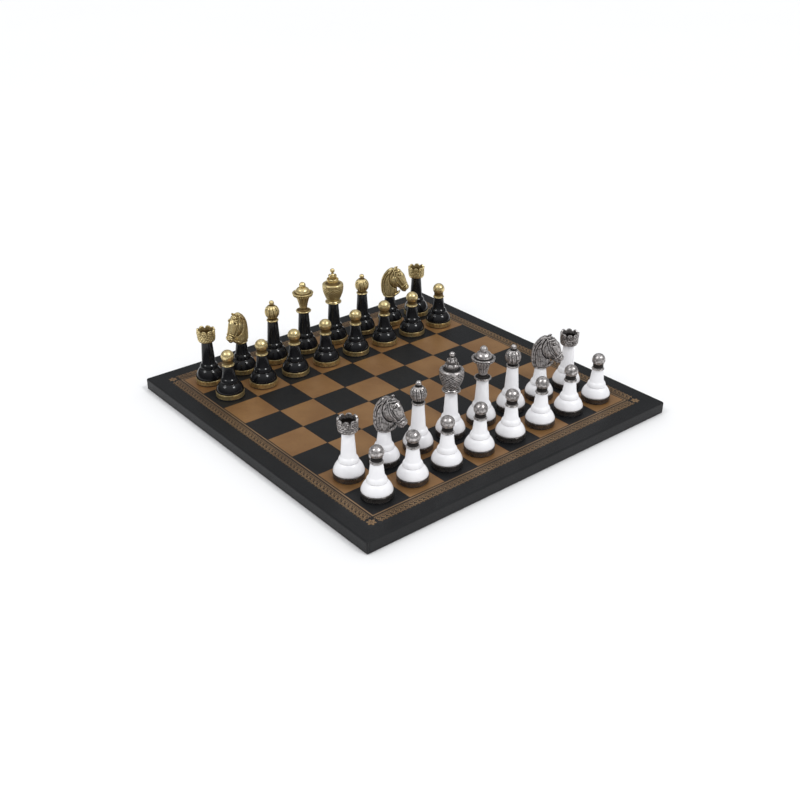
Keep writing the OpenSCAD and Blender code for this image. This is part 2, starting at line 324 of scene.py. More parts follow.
def softened(corners: Sequence[Sequence[float]], reach: float = 0.25, steps: int = 4) -> np.ndarray:
    """An outline whose inner corners are rounded by a parabola from one side to the next.

    Args:
        corners: the outline's corners.
        reach: how far from a corner its rounding starts.
        steps: spans in each rounding.

    Returns:
        The rounded outline.
    """
    p = np.asarray(corners, float)
    t = np.linspace(0, 1, steps + 1)[:, None]
    out = [p[:1]]
    for k in range(1, len(p) - 1):
        before, after = p[k - 1] - p[k], p[k + 1] - p[k]
        long_b, long_a = np.linalg.norm(before), np.linalg.norm(after)
        a = p[k] + before / long_b * min(reach, 0.45 * long_b)
        b = p[k] + after / long_a * min(reach, 0.45 * long_a)
        out.append((1 - t) ** 2 * a + 2 * t * (1 - t) * p[k] + t**2 * b)
    out.append(p[-1:])
    return np.concatenate(out)


def outline(*runs: Sequence) -> np.ndarray:
    """Runs of points put one after another, without the points that repeat.

    Args:
        runs: lists of points, as radius and height.

    Returns:
        The whole outline.
    """
    p = np.concatenate([np.asarray(run, float).reshape(-1, 2) for run in runs])
    keep = np.concatenate([[True], np.linalg.norm(np.diff(p, axis=0), axis=1) > 1e-6])
    return p[keep]


def dense(points: np.ndarray, step: float) -> np.ndarray:
    """An outline with points added, so that none of its spans is longer than a step.

    Args:
        points: the outline.
        step: the longest span.

    Returns:
        The outline with its added points.
    """
    out = [points[:1]]
    for a, b in zip(points[:-1], points[1:]):
        spans = max(1, math.ceil(np.linalg.norm(b - a) / step))
        out.append(a + (b - a) * (np.arange(1, spans + 1) / spans)[:, None])
    return np.concatenate(out)


def revolved(
    path: np.ndarray, columns: int, relief: Optional[Relief] = None, ring: bool = False
) -> Surface:
    """A turned shape: each outline point swept round Z, moved out by a relief of angle and height.

    Args:
        path: the outline, from the bottom of the axis outwards and up, as radius and height.
        columns: how many points go round.
        relief: how far a point is moved outwards, from its radius, height and angle.
        ring: whether the outline closes on itself and keeps clear of the axis.

    Returns:
        The surface.
    """
    ends: tuple = (None, None)
    if not ring:
        ends = ((0, 0, path[0, 1]), (0, 0, path[-1, 1]))
        on_axis = path[[0, -1], 0] < TINY
        path = path[int(on_axis[0]) : len(path) - int(on_axis[1])]
    angle = np.linspace(0, FULL, columns, endpoint=False)[None, :]
    radius = np.repeat(path[:, :1], columns, axis=1)
    height = np.repeat(path[:, 1:], columns, axis=1)
    if relief is not None:
        radius = radius + relief(radius, height, angle + 0 * radius)
    points = np.stack([radius * np.cos(angle), radius * np.sin(angle), height], axis=-1)
    return grid(points, along=ring, ends=ends)


def eased(value: np.ndarray, low: float, high: float) -> np.ndarray:
    """The smooth step from 0 at low to 1 at high: three squares less two cubes."""
    t = np.clip((value - low) / (high - low), 0, 1)
    return t * t * (3 - 2 * t)


def middles(points: np.ndarray) -> tuple[np.ndarray, np.ndarray]:
    """The middles of a grid's first row and last row."""
    return points[0].mean(axis=0), points[-1].mean(axis=0)


def groove(distance: np.ndarray, width: float) -> np.ndarray:
    """A rounded line: 1 on it, falling off as a bell curve of that width."""
    return np.exp(-((distance / width) ** 2))


def ripple(points: np.ndarray, pitch: float, seed: int) -> np.ndarray:
    """An uneven surface between about -1 and 1: the mean of seven sine waves in seeded directions.

    Args:
        points: where it is wanted.
        pitch: the waves' length, in the points' units.
        seed: which directions and phases.

    Returns:
        The height at each point.
    """
    random = np.random.default_rng(seed)
    ways = random.normal(size=(7, 3))
    ways *= (random.uniform(0.7, 1.6, 7) / np.linalg.norm(ways, axis=1))[:, None]
    phase = random.uniform(0, FULL, 7)
    return np.sin(points @ ways.T * (FULL / pitch) + phase).mean(axis=-1) * 1.6


def hammered(surface: Surface, depth: float, pitch: float, seed: int) -> Surface:
    """A casting's slightly uneven skin: points moved along their normals by a ripple.

    Args:
        surface: the smooth surface.
        depth: how far the points move.
        pitch: the size of the unevenness.
        seed: which ripple.

    Returns:
        The uneven surface.
    """
    move = ripple(surface.points, pitch, seed) * depth
    return Surface(surface.points + surface.normals() * move[:, None], surface.quads, surface.tris)


def leaf(
    path: np.ndarray, widths: np.ndarray, thickness: float, columns: int = 8, rib: float = 0.35
) -> Surface:
    """A closed leaf: a lens-shaped section carried along a path in the X and Z plane.

    Across, a point is the half width times a cosine. Through, it is the thickness times a sine,
    less a fold towards the middle that makes the rib.

    Args:
        path: points as X and Z, from the root to the tip.
        widths: half width at each path point.
        thickness: half thickness of the leaf.
        columns: points round the section.
        rib: how far the middle sinks, as a share of the half width.

    Returns:
        The leaf.
    """
    way = np.gradient(path, axis=0)
    way /= np.linalg.norm(way, axis=1, keepdims=True)
    out = np.stack([way[:, 1], -way[:, 0]], axis=1)
    angle = np.linspace(0, FULL, columns, endpoint=False)[None, :]
    across = widths[:, None] * np.cos(angle)
    fold = rib * widths[:, None] * (np.abs(np.cos(angle)) - 1)
    through = thickness * np.sin(angle) + fold
    points = np.stack(
        [
            path[:, :1] + out[:, :1] * through,
            -across,
            path[:, 1:] + out[:, 1:] * through,
        ],
        axis=-1,
    )
    return grid(points, ends=middles(points))


def crown_of(one: Surface, count: int, turn: float = 0.0) -> Surface:
    """Copies of a shape set evenly round Z.

    Args:
        one: the shape, which points along X.
        count: how many.
        turn: angle of the first, in radians.

    Returns:
        All the copies as one surface.
    """
    return joined(one.placed((0, 0, 0), turn + FULL * k / count) for k in range(count))


def pearl(radius: float, columns: int = 8, rows: int = 5) -> Surface:
    """A small ball of a few dozen faces: points at radius times cosine and sine of latitude."""
    return revolved(arc((0, 0), (radius, radius), -70, 70, rows), columns)


# ---------------------------------------------------------------- finishes


# Noise scales count per metre, and the grain's warp is in metres.
SLOW_SCALE = 22.0
BLOTCH_SCALE = 480.0
SPECK_SCALE = 2600.0
GRAIN_WARP = 0.0006
# Name of the per-point hollowness mark that the metals darken by, as patina and as painted shade.
RECESS = "recess"

Colour = tuple[float, float, float]


class Nodes:
    """A short way to add and join the nodes of one tree."""

    def __init__(self, tree: bpy.types.NodeTree) -> None:
        """Holds the tree that the nodes go into."""
        self.tree = tree

    def add(self, kind: str, inputs: Optional[dict] = None, **settings: object) -> bpy.types.Node:
        """Adds a node, sets it up and joins its inputs.

        Args:
            kind: the node's type, without its ShaderNode prefix.
            inputs: input name or number to a value or to another node's output socket.
            settings: the node's own settings.

        Returns:
            The node.
        """
        node = self.tree.nodes.new(kind if kind.startswith("Node") else f"ShaderNode{kind}")
        for name, value in settings.items():
            setattr(node, name, value)
        for name, value in (inputs or {}).items():
            if isinstance(value, bpy.types.NodeSocket):
                self.tree.links.new(value, node.inputs[name])
            else:
                node.inputs[name].default_value = value
        return node

    def maths(self, operation: str, a: object, b: object, c: object = 0.0) -> bpy.types.NodeSocket:
        """The result of one Math node on two or three values or sockets."""
        return self.add("Math", {0: a, 1: b, 2: c}, operation=operation).outputs[0]

    def noise(self, place: object, scale: object, detail: float = 2.0) -> bpy.types.Node:
        """A Noise Texture node at a place, of that scale and detail."""
        return self.add("TexNoise", {"Vector": place, "Scale": scale, "Detail": detail})

    def span(
        self, value: object, low: float, high: float, to: tuple[float, float] = (0.0, 1.0)
    ) -> bpy.types.NodeSocket:
        """A value carried smoothly from one range to another, and held at its ends.

        Args:
            value: the value's socket.
            low: start of the first range.
            high: end of the first range.
            to: start and end of the second range.

        Returns:
            The result's socket.
        """
        return self.add(
            "MapRange",
            {"Value": value, "From Min": low, "From Max": high, "To Min": to[0], "To Max": to[1]},
            interpolation_type="SMOOTHSTEP",
        ).outputs["Result"]

    def mixed(
        self, share: bpy.types.NodeSocket, a: object, b: object
    ) -> bpy.types.NodeSocket:
        """Two colours mixed by a share.

        Args:
            share: the share's socket, 0 for the first colour and 1 for the second.
            a: the first colour, as red, green and blue, or as a socket.
            b: the second colour.

        Returns:
            The mixed colour's socket.
        """
        node = self.add("Mix", data_type="RGBA")
        for number, value in ((0, share), (6, a), (7, b)):
            if isinstance(value, bpy.types.NodeSocket):
                self.tree.links.new(value, node.inputs[number])
            else:
                node.inputs[number].default_value = (*value, 1)
        return node.outputs[2]

    def give(self, out: bpy.types.Node, values: dict) -> bpy.types.NodeTree:
        """Joins a group's results to its output node.

        Args:
            out: the group's output node.
            values: output name to the socket that feeds it.

        Returns:
            The group.
        """
        for name, value in values.items():
            self.tree.links.new(value, out.inputs[name])
        return self.tree


def new_group(
    name: str, inputs: dict, outputs: dict
) -> tuple[Nodes, bpy.types.Node, bpy.types.Node]:
    """Starts a shader node group.

    Args:
        name: the group's name.
        inputs: input name to its kind, Float or Color.
        outputs: output name to its kind.

    Returns:
        The group's nodes helper, its input node and its output node.
    """
    group = bpy.data.node_groups.new(name, "ShaderNodeTree")
    for way, sockets in (("INPUT", inputs), ("OUTPUT", outputs)):
        for label, kind in sockets.items():
            group.interface.new_socket(name=label, in_out=way, socket_type=f"NodeSocket{kind}")
    nodes = Nodes(group)
    return nodes, nodes.add("NodeGroupInput"), nodes.add("NodeGroupOutput")


def grain_group() -> bpy.types.NodeTree:
    """Leather grain: small cells with creases between them, over a slow unevenness.

    Height is the distance to the cell's edge, eased, plus a little noise. Mottle is a slow noise.

    Returns:
        The group.
    """
    nodes, given, out = new_group(
        "LeatherGrain", {"Scale": "Float"}, {"Height": "Float", "Mottle": "Float"}
    )
    place, scale = nodes.add("TexCoord").outputs["Object"], given.outputs["Scale"]
    warp = nodes.noise(place, nodes.maths("MULTIPLY", scale, 0.7))
    bent = nodes.add(
        "VectorMath", {0: warp.outputs["Color"], "Scale": GRAIN_WARP}, operation="SCALE"
    )
    moved = nodes.add("VectorMath", {0: place, 1: bent.outputs[0]}, operation="ADD")
    cells = nodes.add(
        "TexVoronoi", {"Vector": moved.outputs[0], "Scale": scale}, feature="DISTANCE_TO_EDGE"
    )
    pebble = nodes.span(cells.outputs["Distance"], 0.0, 0.35)
    fine = nodes.noise(place, nodes.maths("MULTIPLY", scale, 3.0), 3.0)
    height = nodes.maths("MULTIPLY_ADD", fine.outputs["Fac"], 0.3, pebble)
    slow = nodes.noise(place, SLOW_SCALE, 4.0)
    return nodes.give(out, {"Height": height, "Mottle": slow.outputs["Fac"]})


def patina_group() -> bpy.types.NodeTree:
    """Antique metal: dark in the hollows and in blotches, bright where hands have rubbed it.

    The darkening in the hollows is partly patina and partly painted shade. Its share is the
    larger of the piece's eased recess mark and an eased noise, plus small pits.
    Colour goes from rubbed to dark with it, and roughness and metal follow. Height is the noise.

    Returns:
        The group.
    """
    nodes, given, out = new_group(
        "Patina",
        {
            "Rubbed": "Color",
            "Dark": "Color",
            "Amount": "Float",
            "Smooth": "Float",
            "Rough": "Float",
        },
        {"Color": "Color", "Roughness": "Float", "Height": "Float", "Metal": "Float"},
    )
    place = nodes.add("TexCoord").outputs["Object"]
    mark = nodes.add("Attribute", attribute_name=RECESS).outputs["Fac"]
    blotch = nodes.noise(place, BLOTCH_SCALE, 5.0).outputs["Fac"]
    speck = nodes.noise(place, SPECK_SCALE).outputs["Fac"]
    # Patina and painted shade: the hollowness mark darkens the colour in grooves, necks and
    # undercuts.
    hollow = nodes.span(mark, 0.30, 0.78)
    cloud = nodes.maths("MULTIPLY", nodes.span(blotch, 0.38, 0.72), given.outputs["Amount"])
    patina_and_shade = nodes.maths("MAXIMUM", hollow, cloud)
    pits = nodes.maths("MULTIPLY", nodes.span(speck, 0.6, 0.75), 0.35)
    patina_and_shade = nodes.maths("MINIMUM", nodes.maths("ADD", patina_and_shade, pits), 1.0)
    colour = nodes.mixed(patina_and_shade, given.outputs["Rubbed"], given.outputs["Dark"])
    gap = nodes.maths("SUBTRACT", given.outputs["Rough"], given.outputs["Smooth"])
    rough = nodes.maths("MULTIPLY_ADD", patina_and_shade, gap, given.outputs["Smooth"])
    height = nodes.maths("MULTIPLY_ADD", speck, 0.4, blotch)
    metal = nodes.span(patina_and_shade, 0.1, 1.0, (0.90, 0.55))
    return nodes.give(out, {"Color": colour, "Roughness": rough, "Height": height, "Metal": metal})


def mottle_group() -> bpy.types.NodeTree:
    """A slow cloud and a fine speck, for finishes that are almost even.

    Returns:
        The group.
    """
    nodes, given, out = new_group(
        "Mottle", {"Scale": "Float"}, {"Cloud": "Float", "Speck": "Float"}
    )
    place, scale = nodes.add("TexCoord").outputs["Object"], given.outputs["Scale"]
    cloud = nodes.noise(place, scale, 4.0)
    speck = nodes.noise(place, nodes.maths("MULTIPLY", scale, 24.0))
    return nodes.give(out, {"Cloud": cloud.outputs["Fac"], "Speck": speck.outputs["Fac"]})


GROUPS: dict[str, bpy.types.NodeTree] = {}


def group_node(
    nodes: Nodes, build: Callable[[], bpy.types.NodeTree], inputs: dict
) -> bpy.types.Node:
    """Places a shared group, which is built the first time that it is asked for.

    Args:
        nodes: the tree that it goes into.
        build: the function that builds the group.
        inputs: the group's inputs.

    Returns:
        The group node.
    """
    if build.__name__ not in GROUPS:
        GROUPS[build.__name__] = build()
    node = nodes.add("Group", node_tree=GROUPS[build.__name__])
    for name, value in inputs.items():
        node.inputs[name].default_value = value
    return node


MATERIALS: dict[str, bpy.types.Material] = {}


@dataclass(frozen=True)
class Finish:
    """What every finish has: a name, and the record's slot that it belongs to."""

    name: str
    slot: str

    def shader(self, nodes: Nodes) -> dict:
        """The inputs of the Principled BSDF; each finish gives its own."""
        raise NotImplementedError

    def bumped(
        self, nodes: Nodes, height: bpy.types.NodeSocket, distance: float, strength: float
    ) -> bpy.types.NodeSocket:
        """A normal tilted by a height.

        Args:
            nodes: the material's nodes.
            height: the height's socket.
            distance: how far the height reaches, in metres.
            strength: how much of it shows.

        Returns:
            The normal's socket.
        """
        bump = nodes.add("Bump", {"Height": height, "Distance": distance, "Strength": strength})
        return bump.outputs["Normal"]

    def material(self) -> bpy.types.Material:
        """The finish as a material, which is made the first time.

        Returns:
            The material.
        """
        if self.name in MATERIALS:
            return MATERIALS[self.name]
        made = MATERIALS[self.name] = bpy.data.materials.new(self.name)
        made.use_nodes = True
        made.node_tree.nodes.clear()
        nodes = Nodes(made.node_tree)
        shader = nodes.add("BsdfPrincipled", self.shader(nodes))
        nodes.add("OutputMaterial", {"Surface": shader.outputs["BSDF"]})
        return made

    def put_on(self, piece: bpy.types.Object) -> bpy.types.Object:
        """Gives a piece this finish.

        Args:
            piece: the piece, whose other materials go.

        Returns:
            The same piece.
        """
        piece.data.materials.clear()
        piece.data.materials.append(self.material())
        return piece


@dataclass(frozen=True)
class AntiqueMetal(Finish):
    """Cast and plated metal, darkened in its hollows by patina and by painted shade, and rubbed
    bright on its high spots.
    """

    rubbed: Colour
    dark: Colour
    amount: float
    smooth: float
    rough: float

    def shader(self, nodes: Nodes) -> dict:
        """Colour, roughness, metal and bump from the patina.

        Args:
            nodes: the material's nodes.

        Returns:
            Input name to value or socket.
        """
        patina = group_node(
            nodes,
            patina_group,
            {
                "Rubbed": (*self.rubbed, 1),
                "Dark": (*self.dark, 1),
                "Amount": self.amount,
                "Smooth": self.smooth,
                "Rough": self.rough,
            },
        )
        return {
            "Base Color": patina.outputs["Color"],
            "Roughness": patina.outputs["Roughness"],
            "Metallic": patina.outputs["Metal"],
            "Normal": self.bumped(nodes, patina.outputs["Height"], 0.00008, 0.5),
        }


@dataclass(frozen=True)
class TwoTone(Finish):
    """A finish whose colour drifts between a light tone and a deep one."""

    light: Colour
    deep: Colour


@dataclass(frozen=True)
class Lacquer(TwoTone):
    """Sprayed gloss lacquer on turned wood, with a faint orange peel and a thin clear coat."""

    gloss: float

    def shader(self, nodes: Nodes) -> dict:
        """A cloud moves the colour between two near tones, and the speck is the orange peel.

        Args:
            nodes: the material's nodes.

        Returns:
            Input name to value or socket.
        """
        mottle = group_node(nodes, mottle_group, {"Scale": 90.0})
        cloud = nodes.span(mottle.outputs["Cloud"], 0.35, 0.65)
        return {
            "Base Color": nodes.mixed(cloud, self.light, self.deep),
            "Roughness": nodes.span(cloud, 0.0, 1.0, (self.gloss, self.gloss + 0.06)),
            "Specular IOR Level": 0.3,
            "Coat Weight": 0.15,
            "Coat Roughness": 0.04,
            "Normal": self.bumped(nodes, mottle.outputs["Speck"], 0.00002, 0.35),
        }


@dataclass(frozen=True)
class Leatherette(TwoTone):
    """Grained black leatherette, a little shinier on top of its grain."""

    def shader(self, nodes: Nodes) -> dict:
        """Creases are darker and rougher than the grain between them.

        Args:
            nodes: the material's nodes.

        Returns:
            Input name to value or socket.
        """
        grain = group_node(nodes, grain_group, {"Scale": 1500.0})
        mottle = nodes.span(grain.outputs["Mottle"], 0.3, 0.7)
        tone = nodes.mixed(mottle, self.light, self.deep)
        crease = nodes.span(grain.outputs["Height"], 0.1, 0.6)
        return {
            "Base Color": nodes.mixed(crease, self.deep, tone),
            "Roughness": nodes.span(crease, 0.0, 1.0, (0.62, 0.4)),
            "Specular IOR Level": 0.3,
            "Normal": self.bumped(nodes, grain.outputs["Height"], 0.00004, 0.45),
        }


@dataclass(frozen=True)
class StampedFoil(Finish):
    """Metal foil stamped on leatherette: the grain shows through it, and it is thin in places."""

    bright: Colour
    dull: Colour
    worn: Colour

    def shader(self, nodes: Nodes) -> dict:
        """The foil's tone drifts slowly, and the deepest creases show the leatherette.

        Args:
            nodes: the material's nodes.

        Returns:
            Input name to value or socket.
        """
        grain = group_node(nodes, grain_group, {"Scale": 1000.0})
        mottle = group_node(nodes, mottle_group, {"Scale": 30.0})
        drift = nodes.span(mottle.outputs["Cloud"], 0.3, 0.7)
        tone = nodes.mixed(drift, self.bright, self.dull)
        gone = nodes.span(grain.outputs["Height"], 0.22, 0.06)
        return {
            "Base Color": nodes.mixed(gone, tone, self.worn),
            "Metallic": nodes.span(gone, 0.0, 1.0, (0.4, 0.05)),
            "Roughness": nodes.span(drift, 0.0, 1.0, (0.30, 0.42)),
            "Normal": self.bumped(nodes, grain.outputs["Height"], 0.00004, 0.4),
        }


@dataclass(frozen=True)
class Felted(TwoTone):
    """Pressed felt, matted and dull."""

    def shader(self, nodes: Nodes) -> dict:
        """Fibres are a fine noise, and the colour follows them.

        Args:
            nodes: the material's nodes.

        Returns:
            Input name to value or socket.
        """
        mottle = group_node(nodes, mottle_group, {"Scale": 160.0})
        fibre = nodes.span(mottle.outputs["Speck"], 0.3, 0.7)
        return {
            "Base Color": nodes.mixed(fibre, self.deep, self.light),
            "Roughness": 0.95,
            "Sheen Weight": 0.4,
            "Normal": self.bumped(nodes, mottle.outputs["Speck"], 0.0003, 0.8),
        }


@dataclass(frozen=True)
class Fibreboard(TwoTone):
    """Pressed fibreboard: short brown fibres in all directions."""

    def shader(self, nodes: Nodes) -> dict:
        """Two scales of noise mix the two browns.

        Args:
            nodes: the material's nodes.

        Returns:
            Input name to value or socket.
        """
        mottle = group_node(nodes, mottle_group, {"Scale": 120.0})
        both = nodes.maths("ADD", mottle.outputs["Cloud"], mottle.outputs["Speck"])
        mix = nodes.span(both, 0.8, 1.2)
        return {
            "Base Color": nodes.mixed(mix, self.light, self.deep),
            "Roughness": 0.85,
            "Normal": self.bumped(nodes, mottle.outputs["Speck"], 0.0002, 0.6),
        }


LEATHER = Leatherette(
    "grained_leatherette", "leatherette", (0.0105, 0.011, 0.012), (0.006, 0.0063, 0.007)
)
BRONZE = StampedFoil(
    "stamped_bronze",
    "bronze_foil",
    (0.33, 0.175, 0.066),
    (0.25, 0.125, 0.045),
    (0.065, 0.04, 0.025),
)
GOLD_FOIL = StampedFoil(
    "stamped_gold", "gold_foil", (0.30, 0.185, 0.09), (0.21, 0.125, 0.06), (0.04, 0.03, 0.02)
)
LINING = Felted("board_lining_cloth", "lining", (0.035, 0.035, 0.038), (0.018, 0.018, 0.020))
BOARD_CORE = Fibreboard("pressed_fibreboard", "fibreboard", (0.36, 0.26, 0.17), (0.22, 0.15, 0.09))
FELT = Felted("piece_felt", "felt", (0.040, 0.040, 0.044), (0.016, 0.016, 0.018))
# Metals: a rubbed colour on high spots, and a dark colour for blotches of patina and for the
# hollows, where it is patina and painted shade.
SILVER = AntiqueMetal(
    "rubbed_silver", "antique_silver", (0.62, 0.585, 0.57), (0.016, 0.0135, 0.0125), 0.84, 0.28, 0.5
)
GOLD = AntiqueMetal(
    "rubbed_gold", "antique_gold", (0.86, 0.70, 0.36), (0.13, 0.082, 0.026), 0.52, 0.29, 0.5
)
OLD_GOLD = AntiqueMetal(
    "dulled_gold", "antique_gold", (0.62, 0.49, 0.24), (0.10, 0.065, 0.022), 0.6, 0.32, 0.5
)
DARK_SILVER = AntiqueMetal(
    "darkened_silver", "dark_silver", (0.15, 0.14, 0.135), (0.015, 0.013, 0.013), 0.6, 0.26, 0.5
)
WHITE_LACQUER = Lacquer(
    "white_gloss", "white_lacquer", (0.93, 0.925, 0.94), (0.89, 0.885, 0.905), 0.16
)
BLACK_LACQUER = Lacquer(
    "black_gloss", "black_lacquer", (0.006, 0.006, 0.007), (0.004, 0.004, 0.005), 0.12
)

HEAD_METAL = {Side.WHITE: SILVER, Side.BLACK: GOLD}
CUP_METAL = {Side.WHITE: DARK_SILVER, Side.BLACK: OLD_GOLD}
BODY_LACQUER = {Side.WHITE: WHITE_LACQUER, Side.BLACK: BLACK_LACQUER}


# ---------------------------------------------------------------- what every piece has


@dataclass
class Base:
    """The base cup with its felt: heights in millimetres over the board."""

    radius: float
    height: float = 4.4
    felt: float = 0.8
    felt_inset: float = 0.7
    glue: float = 0.05
    floor: float = 3.0
    wall: float = 1.6
    bead: float = 0.42
    waist: float = 0.14
    bore: float = 1.65

    @property
    def bottom(self) -> float:
        """Where the cup starts, over the felt and its glue."""
        return self.felt + self.glue

    @property
    def top(self) -> float:
        """The cup's rim."""
        return self.bottom + self.height

    def build_cup(self) -> Surface:
        """A slightly hollow band between a soft foot and a thin rolled rim, with a bored floor.

        Returns:
            The cup.
        """
        r, b = self.radius, self.bead
        low, high = self.bottom, self.top
        inner, floor = r - self.wall, low + self.floor
        rise = np.linspace(0, 1, 8)
        waist = r - self.waist * np.sin(np.pi * rise) ** 0.5
        path = outline(
            [(self.bore, low)],
            arc((r - b, low + b), (b, b), -90, -10, 5),
            np.stack([waist, low + b + (high - low - 3 * b) * rise], 1),
            [(r - self.waist, high - 1.9 * b)],
            arc((r - b, high - b), (b, b), -50, 90, 8),
            softened([(r - b, high), (inner, high), (inner, floor), (self.bore, floor)]),
        )
        return hammered(revolved(path, 96, ring=True), 0.05, 2.4, 11)

    def build_felt(self) -> Surface:
        """A disc with a soft edge, a little ragged.

        Returns:
            The felt.
        """
        r = self.radius - self.felt_inset
        edge = self.felt / 2
        path = outline([(0, 0)], arc((r - edge, edge), (edge, edge), -90, 90, 6), [(0, self.felt)])

        def ragged(radius: np.ndarray, height: np.ndarray, angle: np.ndarray) -> np.ndarray:
            """A fine wave in and out round the edge."""
            return -0.08 * (1 + np.sin(31 * angle + 7 * height)) * eased(radius, r - 1, r)

        return revolved(path, 72, ragged)


@dataclass
class TurnedBody:
    """The turned body: spigot, rolled edge, bell, bead, cove and a stem that tapers."""

    base: Base
    top: float
    bead_z: float
    bell_inset: float = 0.3
    roll: float = 1.0
    bell_top: float = 7.85
    bell_power: float = 1.4
    bead_radius: float = 8.2
    bead_height: float = 3.2
    stem_low: float = 6.1
    stem_high: float = 4.8
    cove: float = 2.4
    spigot_fit: float = 0.1
    columns: int = 96

    def build(self) -> Surface:
        """The outline's runs, revolved; it closes on the bore for the tie rod.

        The bell is a superellipse: its radius falls from the foot to the bead with the power of
        the height's share. A slightly swollen slope leads from the bead to the stem.

        Returns:
            The body.
        """
        base, half = self.base, self.bead_height / 2
        shoulder = base.top + base.glue
        foot = base.bottom + base.floor + base.glue
        spigot = base.radius - base.wall - self.spigot_fit
        bell = base.radius - self.bell_inset
        roll_z = shoulder + self.roll
        crease = half * 0.62
        bell_end = self.bead_z - 0.9 * crease
        cove_z = self.bead_z + half + self.cove
        neck = self.bead_radius - half / 2
        rise = np.linspace(0, 0.985, 24)
        lean = np.linspace(0, 1, 8)
        bulge = (1 - rise**self.bell_power) ** (1 / self.bell_power)
        flare_low = np.array([self.bead_radius - 0.2, self.bead_z + crease])
        flare = flare_low + (np.array([self.stem_low, cove_z]) - flare_low) * lean[:, None]
        flare[:, 0] += 0.3 * np.sin(np.pi * lean)
        socket = [(base.bore, foot), (spigot, foot), (spigot, shoulder), (bell - 1.2, shoulder)]
        stem = [(self.stem_low, cove_z), (self.stem_high, self.top), (base.bore, self.top)]
        width = self.bell_top + (bell - self.bell_top) * bulge
        path = outline(
            [(base.bore, foot)],
            softened(socket, 0.2, 2),
            arc((bell - self.roll / 2, roll_z), (self.roll / 2, self.roll), -90, 0, 7),
            np.stack([width, roll_z + (bell_end - roll_z) * rise], 1),
            arc((neck, self.bead_z), (half / 2, crease), -46, 36, 14),
            flare,
            softened(stem, 0.3, 3),
        )
        return revolved(path, self.columns, ring=True)


# ---------------------------------------------------------------- cast heads


# The blind hole in every head that takes the tie rod.
HOLE_RADIUS = 1.52
HOLE_DEPTH = 3.65
HOLE = [(0, HOLE_DEPTH), (HOLE_RADIUS, HOLE_DEPTH), (HOLE_RADIUS, 0)]


def saucer(radius: float, height: float = 1.7, dish: float = 0.1) -> np.ndarray:
    """A head's collar: a disc whose edge is a bold round ring.

    Args:
        radius: the disc's radius.
        height: the height of its middle.
        dish: how far the rim stands over the dish beside it.

    Returns:
        The outline from the bottom of the axis to the dish.
    """
    edge = height * 0.46
    return outline(
        HOLE,
        [(HOLE_RADIUS, 0)],
        arc((radius - edge, height / 2), (edge, edge), -80, 140, 12),
        [(radius - 2 * edge, height * 0.9 - dish)],
    )


@dataclass
class PawnHead:
    """A ball on a saucer."""

    collar: float = 5.5
    neck: float = 4.5
    ball: float = 5.75
    rise: float = 8.75

    def build(self) -> Surface:
        """The saucer, a short neck and the ball, with a casting's uneven skin.

        Returns:
            The head.
        """
        start = -math.degrees(math.acos(self.neck / self.ball))
        path = outline(
            saucer(self.collar, 1.3, 0.0),
            [(self.neck + 0.5, 1.5), (self.neck, 2.4)],
            arc((0, self.rise), (self.ball, self.ball), start, 90, 34),
        )
        return hammered(revolved(path, 72), 0.05, 3.1, 5)


@dataclass
class RookHead:
    """A round tower of small stones, with pointed merlons round its rim."""

    rim: float = 8.4
    foot: float = 6.0
    height: float = 11.6
    wall: float = 1.7
    floor: float = 5.2
    merlons: int = 8
    gap: float = 3.0
    courses: float = 1.75
    stones: int = 18

    def stonework(self, radius: np.ndarray, height: np.ndarray, angle: np.ndarray) -> np.ndarray:
        """Joints between stones: rounded lines at each course, and at each stone by turns.

        Args:
            radius: distance from the axis.
            height: height in the head.
            angle: angle round the axis.

        Returns:
            How far each point moves outwards.
        """
        course = height / self.courses
        row = np.floor(course)
        flat = np.abs(course - np.round(course)) * self.courses
        along = angle / FULL * self.stones + 0.5 * (row % 2)
        upright = np.abs(along - np.round(along)) * FULL * self.rim / self.stones
        joint = np.maximum(groove(flat, 0.2), groove(upright, 0.22))
        outside = eased(radius, self.rim - 1.2, self.rim - 0.5)
        stone = 0.14 * np.sin(7.3 * row + 5.1 * np.floor(along))
        return outside * (stone - 0.42 * joint) * eased(height, 1.4, 2.2)

    def build(self) -> Surface:
        """The tower's skin, whose upper rows rise and fall with the merlons.

        Returns:
            The head.
        """
        shoulder, edge = self.height * 0.22, 0.35
        inner, waist, brow = self.rim - self.wall, self.rim - 0.45, self.height - edge
        path = outline(
            HOLE,
            [(HOLE_RADIUS, 0), (self.foot, 0)],
            arc((self.foot, shoulder), (waist - self.foot, shoulder), -90, 0, 9),
            dense(np.array([(waist, shoulder), (self.rim, brow)]), 0.3),
            arc((self.rim - edge, brow), (edge, edge), 0, 90, 3),
            arc((inner + edge, brow), (edge, edge), 90, 180, 3),
            dense(np.array([(inner, brow), (inner - 0.5, self.floor)]), 0.6),
            [(0, self.floor)],
        )
        tower = revolved(path, 216, self.stonework)
        p = tower.points
        angle = np.arctan2(p[:, 1], p[:, 0]) / FULL * self.merlons
        away = 2 * np.abs(angle - np.round(angle))
        dip = self.gap * away**3.2
        share = eased(p[:, 2], self.height - 5.2, self.height)
        p[:, 2] -= share * dip
        return hammered(tower, 0.05, 1.3, 23)


